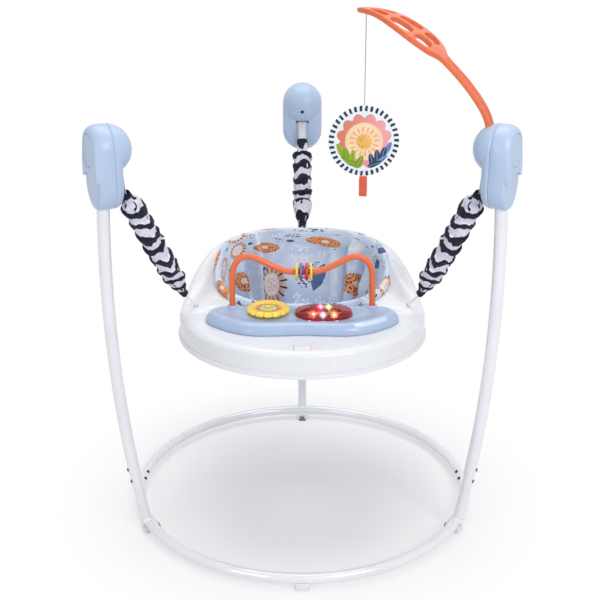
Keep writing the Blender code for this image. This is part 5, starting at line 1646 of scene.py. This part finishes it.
def lit_red():
    """Clear dark red. Where a lamp stands behind it, painted light makes it glow in the lamp's colour, with
    four rays.
    """
    f = Finish("red_clear_plastic", IOR=1.45, Transmission_Weight=0.74, Coat_Weight=0.25,
               Coat_Roughness=0.03, Emission_Strength=1.0)
    # Painted light: a glow, a white core and four rays round each lamp, added up as the plastic's emission.
    glow = (0.045, 0.001, 0.002)
    for place, colour in GLOWS:
        away = f.object - tuple(HOME @ Vector(place))
        across = abs(f.part(away, 0))
        upright = abs(f.vector_math("DOT_PRODUCT", away, (0, 0.35, 0.94), out=1))
        distance = f.math("SQRT", across * across + upright * upright)
        core = f.range(distance, 0.0008, 0.0040, 2.6, 0.0, smooth_step=True)
        halo = f.range(distance, 0.0015, 0.0100, 0.9, 0.0, smooth_step=True)
        ray = f.range(f.math("MINIMUM", across, upright), 0.0002, 0.0008, 1.0, 0.0)
        ray = ray * f.range(distance, 0.0020, 0.0125, 1.2, 0.0)
        tinted = f.vector_math("SCALE", colour, Scale=halo + ray)
        white_core = f.vector_math("SCALE", towards(colour, 1, 0.45), Scale=core)
        glow = f.vector_math("ADD", glow, f.vector_math("ADD", tinted, white_core))
    shade = f.cloud(linear(0.60, 0.015, 0.025), linear(0.74, 0.03, 0.035), 70, 2)
    return f.paint(shade, (120, 3, 0.04, 0.09), (900, 0.00001), Emission_Color=glow)


piece("lamp_dome", outer, lit_red(), "dome_body", ("light_dome",), at=HOME, sharp=60)


def lamp_finish(name, colour, power):
    f = Finish(name, Emission_Strength=power)
    core = f.cloud(colour, towards(colour, 1, 0.5), 300, 2)
    return f.paint(core, (90, 2, 0.2, 0.3), Emission_Color=core)


BOARD = plain("circuit_board", linear(0.30, 0.10, 0.10), linear(0.52, 0.20, 0.16), (160, 3, 0.45, 0.55),
              (90, 2, 0.35, 0.5))
softened("lamp_board", "light_board", BOARD, "tray_body", 0.0004)
lamps = ((-0.030, -0.014, "amber", (1.0, 0.36, 0.10)), (0.0, -0.016, "cool_white", (0.55, 0.78, 1.0)),
         (0.028, -0.014, "gold", (1.0, 0.52, 0.10)), (-0.012, 0.006, "pink", (1.0, 0.20, 0.42)),
         (0.014, 0.006, "green", (0.25, 1.0, 0.30)))
BULB = [(0, 0.0062), (0.0014, 0.0058), (0.0024, 0.0046), (0.0027, 0.0030), (0.0027, 0), (0, 0)]
for dx, dy, label, colour in lamps:
    piece("lamp_" + label, turned(BULB, 24), lamp_finish("lamp_glow_" + label, colour, 9.0), "tray_body",
          at=HOME @ Matrix.Translation((DOME_AT[0] + dx, DOME_AT[1] + dy, WELL_FLOOR + 0.0048)))
pit = bmesh.new()
corners = []
for i in range(96):
    x, y = superellipse(math.tau * i / 96, *WELL_HALF, DOME_POWER)
    place = (DOME_AT[0] + x, DOME_AT[1] + y - BEAN * (1 - (x / WELL_HALF[0]) ** 2), WELL_FLOOR)
    corners.append(pit.verts.new(place))
drawn = bmesh.ops.extrude_face_region(pit, geom=[pit.faces.new(corners)])["geom"]
bmesh.ops.translate(pit, verts=[v for v in drawn if isinstance(v, bmesh.types.BMVert)], vec=(0, 0, 0.02))
carve(console, [moved(pit, HOME)])
print("dome and", len(lamps), "lamps")

# %% [markdown]
# ## Leaf arm
# The arm is one orange moulding: a stem that grows from the right tower and opens into a leaf with a midrib,
# side ribs and six rounded openings. A coarse cage is thickened, its edges are eased and it is then
# subdivided, which turns the cage's square openings into the soft ovals of a moulded part.

# %% Cage of stem and leaf
ARM_PATH = [(0.4140, 0.9060), (0.4140, 0.9200), (0.4060, 0.9414), (0.3927, 0.9619), (0.3752, 0.9840),
            (0.3535, 1.0079), (0.3299, 1.0297), (0.3110, 1.0465), (0.3000, 1.0565), (0.2830, 1.0705),
            (0.2680, 1.0815), (0.2520, 1.0922), (0.2293, 1.1062), (0.2026, 1.1195), (0.1763, 1.1290),
            (0.1500, 1.1328), (0.1252, 1.1335)]
LEAF_START = 7
ARM_THICK = 0.0108
COLUMNS = (-1.0, -0.84, -0.10, 0.10, 0.84, 1.0)
LEAF_ROWS = (0.06, 0.13, 0.22, 0.31, 0.35, 0.48, 0.60, 0.64, 0.745, 0.84, 0.91, 1.0)
OPEN_ROWS = (0.13, 0.22, 0.35, 0.48, 0.64, 0.745)
places = [Vector((radius, 0, height)) for radius, height in ARM_PATH]
runs = [(b - a).length for a, b in zip(places[LEAF_START:], places[LEAF_START + 1:])]


def leaf_point(share):
    """The point on the arm's path at a share of the leaf's length."""
    left = share * sum(runs)
    for i, run in enumerate(runs):
        if left <= run or i == len(runs) - 1:
            return places[LEAF_START + i].lerp(places[LEAF_START + i + 1], min(1.0, left / run))
        left -= run


stations = [(place, 0.0) for place in places[:LEAF_START + 1]]
stations += [(leaf_point(share), share) for share in LEAF_ROWS]
last = len(stations) - 1
bm = bmesh.new()
rows = []
for i, (place, share) in enumerate(stations):
    lean = (stations[min(i + 1, last)][0] - stations[max(i - 1, 0)][0]).normalized()
    under = Vector((-lean.z, 0, lean.x))
    bell = math.sin(math.pi * min(1.0, share) ** 0.75) ** 0.75 if share < 1 else 0.0
    half_wide = max(0.0045, (0.0132 + 0.0013 * smoothstep((i - 1) / 2)) * (1 - share) + 0.052 * bell)
    lifted = place - under * (ARM_THICK / 2 + 0.0020 * bell)
    rows.append([bm.verts.new(lifted + under * (0.0030 * bell * c * c) + Vector((0, c * half_wide, 0)))
                 for c in COLUMNS])
for i in range(last):
    for k in range(len(COLUMNS) - 1):
        if stations[i][1] in OPEN_ROWS and k in (1, 3):
            continue
        bm.faces.new((rows[i][k], rows[i][k + 1], rows[i + 1][k + 1], rows[i + 1][k]))
bmesh.ops.recalc_face_normals(bm, faces=bm.faces)
bmesh.ops.solidify(bm, geom=bm.faces[:], thickness=ARM_THICK)
bm.normal_update()
hard = [e for e in bm.edges if len(e.link_faces) == 2 and e.calc_face_angle(0) > 0.9
        and (e.calc_length() > ARM_THICK * 1.15 or e.verts[0].co.z < 0.93)]
eased(bm, hard, 0.0018, 2)
top_faces = [f for f in bm.faces if 0.93 < f.calc_center_median().z < 1.046 and f.calc_area() > 2e-5
             and abs(f.normal.y) < 0.3 and f.normal.x > 0.2]
bmesh.ops.inset_region(bm, faces=top_faces, thickness=0.0014, depth=-0.0010)
for face in top_faces:
    face.material_index = 1
print("cage faces", len(bm.faces), "panel faces", len(top_faces))


def dotted_orange():
    """The same orange with rows of small pressed dots, for the stem's sunk face, painted darker inside each
    dot as painted shade in the hollows.
    """
    f = Finish("orange_dotted_plastic")
    # Painted shade: the colour darkens inside each pressed dot, where the bump also sinks.
    pit = f.range(f.dots(f.object, 330.0, 0.35), 0.25, 0.45)
    shade = f.mix(pit, linear(0.74, 0.30, 0.15), linear(0.90, 0.385, 0.20))
    return f.paint(shade, (45, 3, 0.36, 0.48), f.bump(pit, 0.0005))


arm = piece("leaf_arm_moulding", bm, ORANGE, "stand", ("leaf_arm",), at=BAY["right"], sharp=180)
arm.data.materials.append(dotted_orange())
soft = arm.modifiers.new("round", "SUBSURF")
soft.levels = soft.render_levels = 2
settled(arm)
smooth(arm.data, 180)
print("leaf arm faces", len(arm.data.polygons))

# %% [markdown]
# ## Mobile
# A thin twisted cord hangs from an eyelet under the leaf's tip and carries a padded cloth disc. Its twist is
# drawn on the cord's own UV map.

# %% Cord and eyelet
CORD_TOP = HOME @ Vector((0.1290, -0.0660, 1.1262))
DISC_Z = 0.8685
DISC_R = 0.0740
DISC_MIDDLE = Vector((CORD_TOP.x, CORD_TOP.y, DISC_Z))
CORD_ROWS = 60
CORD_THICK = 0.0018
eyelet = turned([(0.0012, 0.0), (0.0030, 0.0), (0.0042, 0.0016), (0.0046, 0.0044), (0.0040, 0.0070),
                 (0.0012, 0.0070), (0.0012, 0.0)], 32)
piece("cord_eyelet", eyelet, ORANGE, "stand", at=Matrix.Translation(CORD_TOP + Vector((0, 0, 0.0002))))
cord_drop = DISC_Z + DISC_R + 0.0003 - CORD_TOP.z + 0.0003
cord_path = [Vector((CORD_TOP.x, CORD_TOP.y, CORD_TOP.z - 0.0003 + cord_drop * i / CORD_ROWS))
             for i in range(CORD_ROWS + 1)]


def cord_finish():
    f = Finish("twisted_cord", Specular_IOR_Level=0.3)
    twist = f.wave(f.part(f.uv, 0) * 2 + f.part(f.uv, 1) * 60, 1)
    shade = f.mix(f.range(twist, -1, 1), linear(0.52, 0.52, 0.55), linear(0.78, 0.78, 0.80))
    return f.paint(shade, (300, 2, 0.6, 0.75), f.bump(twist, 0.0002))


def cord_place(u, v):
    point = cord_path[round(v * CORD_ROWS)]
    return point + Vector((math.cos(u * math.tau), math.sin(u * math.tau), 0)) * (CORD_THICK / 2)


cord = piece("mobile_cord_line", shut(wrap(14, CORD_ROWS, cord_place)), cord_finish(), "mobile_line",
             ("mobile_cord",))

# %% [markdown]
# ## Padded disc
# Two round faces of printed cloth are sewn round their edge and stuffed, so the form is a flat cushion that
# puckers along its seam. A piping with dark dashes covers the seam. The print is a flower over green and navy
# leaves on white.

# %% Disc with its padding
GREEN_INK = ((0.47, 0.62, 0.13), (0.70, 0.78, 0.34))
LIME_INK = ((0.62, 0.72, 0.22), (0.42, 0.56, 0.12))
NAVY_INK = ((0.21, 0.27, 0.37), (0.48, 0.60, 0.78))
SKY_INK = ((0.45, 0.59, 0.77), (0.22, 0.30, 0.42))
DISC_LEAVES = [(-0.049, -0.020, 118, *LIME_INK), (-0.037, -0.028, 100, *GREEN_INK),
               (-0.039, -0.041, 150, *GREEN_INK), (-0.024, -0.034, 84, *LIME_INK),
               (-0.021, -0.047, 165, *GREEN_INK), (-0.010, -0.044, 62, *GREEN_INK),
               (0.049, -0.016, 58, *SKY_INK), (0.040, -0.027, 74, *NAVY_INK),
               (0.028, -0.033, 92, *NAVY_INK), (0.040, -0.039, 35, *SKY_INK),
               (0.017, -0.041, 104, *NAVY_INK), (0.024, -0.048, 18, *NAVY_INK)]
LEAF_LONG = 0.0165
LEAF_WIDE = 0.0062
DASHES = 38
PAD_R = DISC_R - 0.0024


def disc_print():
    """A round flower over green and navy leaves on white cloth, with polar shapes made from maths nodes."""
    f = Finish("disc_cloth", Sheen_Weight=0.2, Specular_IOR_Level=0.25)
    place = f.object - tuple(DISC_MIDDLE)
    x, z = f.part(place, 0), f.part(place, 2)
    flat = f.node("CombineXYZ", 0, None, (x, z, 0.0))
    radius, turn = f.length(flat), f.turn(flat)
    lobe = abs(f.wave(turn, 6))
    wash = f.range(f.noise(42, 3), 0.35, 0.65)
    white = f.mix(wash, linear(0.955, 0.965, 0.98), linear(0.90, 0.945, 0.985))
    drift = f.range(x + f.noise(30, 2) * 0.03, -0.03, 0.05)
    petal = f.mix(drift, linear(0.86, 0.52, 0.40), linear(0.96, 0.66, 0.66))
    seen = f.mix(radius < 0.0490 + lobe * 0.0095, white, petal)
    ring = f.mix(wash, linear(0.97, 0.83, 0.66), linear(0.985, 0.865, 0.72))
    seen = f.mix(radius < 0.0395, seen, ring)
    band = (radius < 0.0305) * (radius > 0.0205)
    seen = f.mix((f.wave(turn, 16) > 0.72) * band, seen, linear(0.93, 0.62, 0.42))
    middle = f.mix(wash, linear(0.93, 0.70, 0.36), linear(0.97, 0.79, 0.45))
    seen = f.mix(radius < 0.0150 + lobe * 0.0022, seen, middle)
    seeds = (f.dots(flat, 240.0, 0.8) < 0.26) * (radius < 0.0125)
    seen = f.mix(seeds, seen, linear(0.42, 0.30, 0.24))
    for x_at, z_at, lean, ink, rib_ink in DISC_LEAVES:
        spot = f.spun(flat - (x_at, z_at, 0.0), -math.radians(lean)) * (1 / LEAF_LONG, 1 / LEAF_WIDE, 0.0)
        rib = abs(f.part(spot, 1)) < 0.11
        seen = f.mix(f.length(spot) < 1.0, seen, f.mix(rib, linear(*ink), linear(*rib_ink)))
    seen = f.mix(radius > 0.0585, seen, white)
    bars = f.wave(turn + f.noise(26, 1) * 0.004, DASHES) > 0.05
    seen = f.mix(bars * (radius > 0.0630), seen, linear(0.16, 0.205, 0.26))
    fibre = f.math("SINE", x * 7800.0) * f.math("SINE", z * 7800.0)
    return f.paint(seen, (90, 3, 0.78, 0.9), f.bump(fibre, 0.00008))


def piping_finish():
    """White piping with dark square dashes, counted round the disc by its UV map."""
    f = Finish("dashed_piping", Sheen_Weight=0.2)
    dash = f.wave(f.part(f.uv, 1) + f.noise(55, 1) * 0.006, DASHES) > 0.10
    shade = f.mix(dash, linear(0.94, 0.965, 0.985), linear(0.17, 0.215, 0.27))
    return f.paint(shade, (90, 3, 0.75, 0.88), weave(f, 10, 260, 0.0001))


def disc_place(u, v):
    """A cushion: the cloth crosses from the front's middle over the seam to the back's middle."""
    angle = u * math.tau
    side = 1 if v < 0.5 else -1
    share = min(1.0, 2 * v if v < 0.5 else 2 - 2 * v)
    radius = PAD_R * math.sin(share * math.pi / 2)
    thick = 0.0078 * max(0.0, 1 - (radius / PAD_R) ** 2.6) ** 0.62 + 0.0010
    pucker = 0.0009 * math.sin(angle * 30 + 1.7 * math.sin(angle * 3)) * smoothstep((radius - 0.050) / 0.018)
    c, s = math.cos(angle), math.sin(angle)
    lump = 0.0009 * noise.noise(Vector((radius * 45 * c, radius * 45 * s, side * 3.0)))
    return DISC_MIDDLE + Vector((radius * c, -side * (thick + pucker + lump), radius * s))


pad = piece("mobile_disc_pad", wrap(120, 56, disc_place), disc_print(), "mobile_toy", ("mobile_disc",),
            sharp=180)


def piping_place(u, v):
    angle, turn = v * math.tau, u * math.tau
    ripple = 0.0002 * math.sin(angle * 2 * DASHES)
    reach = DISC_R - 0.0026 + (0.0025 + ripple) * math.cos(turn)
    return DISC_MIDDLE + Vector((reach * math.cos(angle), 0.0032 * math.sin(turn), reach * math.sin(angle)))


piece("disc_piping", wrap(16, 10 * DASHES, piping_place), piping_finish(), "mobile_toy", sharp=180)
print("disc faces", len(pad.data.polygons))

# %% [markdown]
# ## Ribbon
# One loop of thin orange ribbon hangs below the disc, pressed almost flat. Both its ends are caught in the
# disc's seam.

# %% Ribbon
RIBBON_WIDE = 0.0170
RIBBON_DROP = 0.0440


def ribbon_finish():
    f = Finish("orange_ribbon", Sheen_Weight=0.3, Sheen_Roughness=0.4)
    shade = f.cloud(linear(0.86, 0.30, 0.20), linear(0.93, 0.42, 0.30), 60, 3)
    return f.paint(shade, (90, 2, 0.42, 0.58), weave(f, 300, 60, 0.00012))


def ribbon_place(u, v):
    """One loop of ribbon, pressed flat: down the front, round the fold and up the back."""
    along_it = abs(1 - 2 * v)
    side = -1 if v < 0.5 else 1
    drop = RIBBON_DROP * (1 - along_it)
    open_by = 0.0016 * math.sin(math.pi * min(1.0, drop / RIBBON_DROP)) ** 0.6 + 0.0003
    x = (u - 0.5) * RIBBON_WIDE * (1 - 0.06 * smoothstep(1 - drop / 0.010))
    crease = 0.0009 * math.exp(-((u - 0.47) / 0.05) ** 2) * (1 - 0.5 * drop / RIBBON_DROP)
    wave = 0.0006 * math.sin(drop * 190) * (0.4 + u)
    height = DISC_Z - DISC_R - 0.0009 - drop * (1 + 0.02 * (u - 0.5))
    return Vector((CORD_TOP.x + x, CORD_TOP.y + side * open_by + crease + wave, height))


band = piece("ribbon_loop", wrap(20, 90, ribbon_place, welded=False), ribbon_finish(), "mobile_toy",
             ("mobile_ribbon",), sharp=180)
thickened(band, 0.0004, 0, 60)
print("ribbon faces", len(band.data.polygons))

# %% [markdown]
# ## Floor and light
# Big soft lamps give the even light of a product photo. The floor keeps the toy's soft shadow close by, and
# fades into pure white further out, so that no horizon shows. The lamps stay low enough that white plastic
# still shows its form.

# %% Floor, world and lamps
def shows_white(f):
    """1 for the rays that should meet plain white: direct, mirrored and through clear parts."""
    direct, mirrored, through = (f.node("LightPath", "Is %s Ray" % kind)
                                 for kind in ("Camera", "Glossy", "Transmission"))
    return f.math("MAXIMUM", f.math("MAXIMUM", direct, mirrored), through)


def floor_finish():
    """A matt floor that turns pure white to the camera away from the toy."""
    f = Finish("studio_floor", Specular_IOR_Level=0.2)
    material = f.paint(f.cloud((0.84, 0.84, 0.85), (0.88, 0.88, 0.88), 1.2, 2), 0.9)
    glow = f.node("Emission", Color=(1, 1, 1, 1), Strength=1.0)
    far = f.range(f.length(f.object), 0.18, 0.64, 0.14, 1.0, smooth_step=True)
    matt = Value(f, f.shader.outputs[0])
    seen = f.node("MixShader", 0, None, (far * shows_white(f), matt, glow))
    f.set(f.tree.nodes["Material Output"], Surface=seen)
    return material


bm = bmesh.new()
bmesh.ops.create_grid(bm, x_segments=2, y_segments=2, size=6)
floor = new_object("studio_floor", bm)
floor.data.materials.append(floor_finish())
floor.location.z = -0.0005

world = bpy.data.worlds.new("studio")
scene.world = world
world.use_nodes = True
sky = Recipe(world.node_tree)
backdrops = [sky.node("Background", Color=colour, Strength=strength)
             for colour, strength in (((0.93, 0.95, 1.0, 1), 0.52), ((1, 1, 1, 1), 1.0))]
seen = sky.node("MixShader", 0, None, (shows_white(sky), *backdrops))
sky.set(sky.tree.nodes["World Output"], Surface=seen)


def softbox(name, place, target, size, power):
    data = bpy.data.lights.new(name, "AREA")
    data.shape = "RECTANGLE"
    data.size, data.size_y = size
    data.energy = power
    lamp = bpy.data.objects.new(name, data)
    lamp.location = place
    lamp.rotation_euler = (Vector(target) - Vector(place)).to_track_quat("-Z", "Y").to_euler()
    scene.collection.objects.link(lamp)


softbox("key_softbox", (1.5, -2.6, 2.2), (0, 0, 0.6), (1.3, 1.1), 43)
softbox("fill_softbox", (-1.6, -2.6, 1.4), (0, 0, 0.6), (1.2, 1.2), 13)
softbox("top_softbox", (0, 0.6, 3.2), (0, 0, 0.4), (2.4, 1.6), 36)
scene.view_settings.view_transform = "Standard"
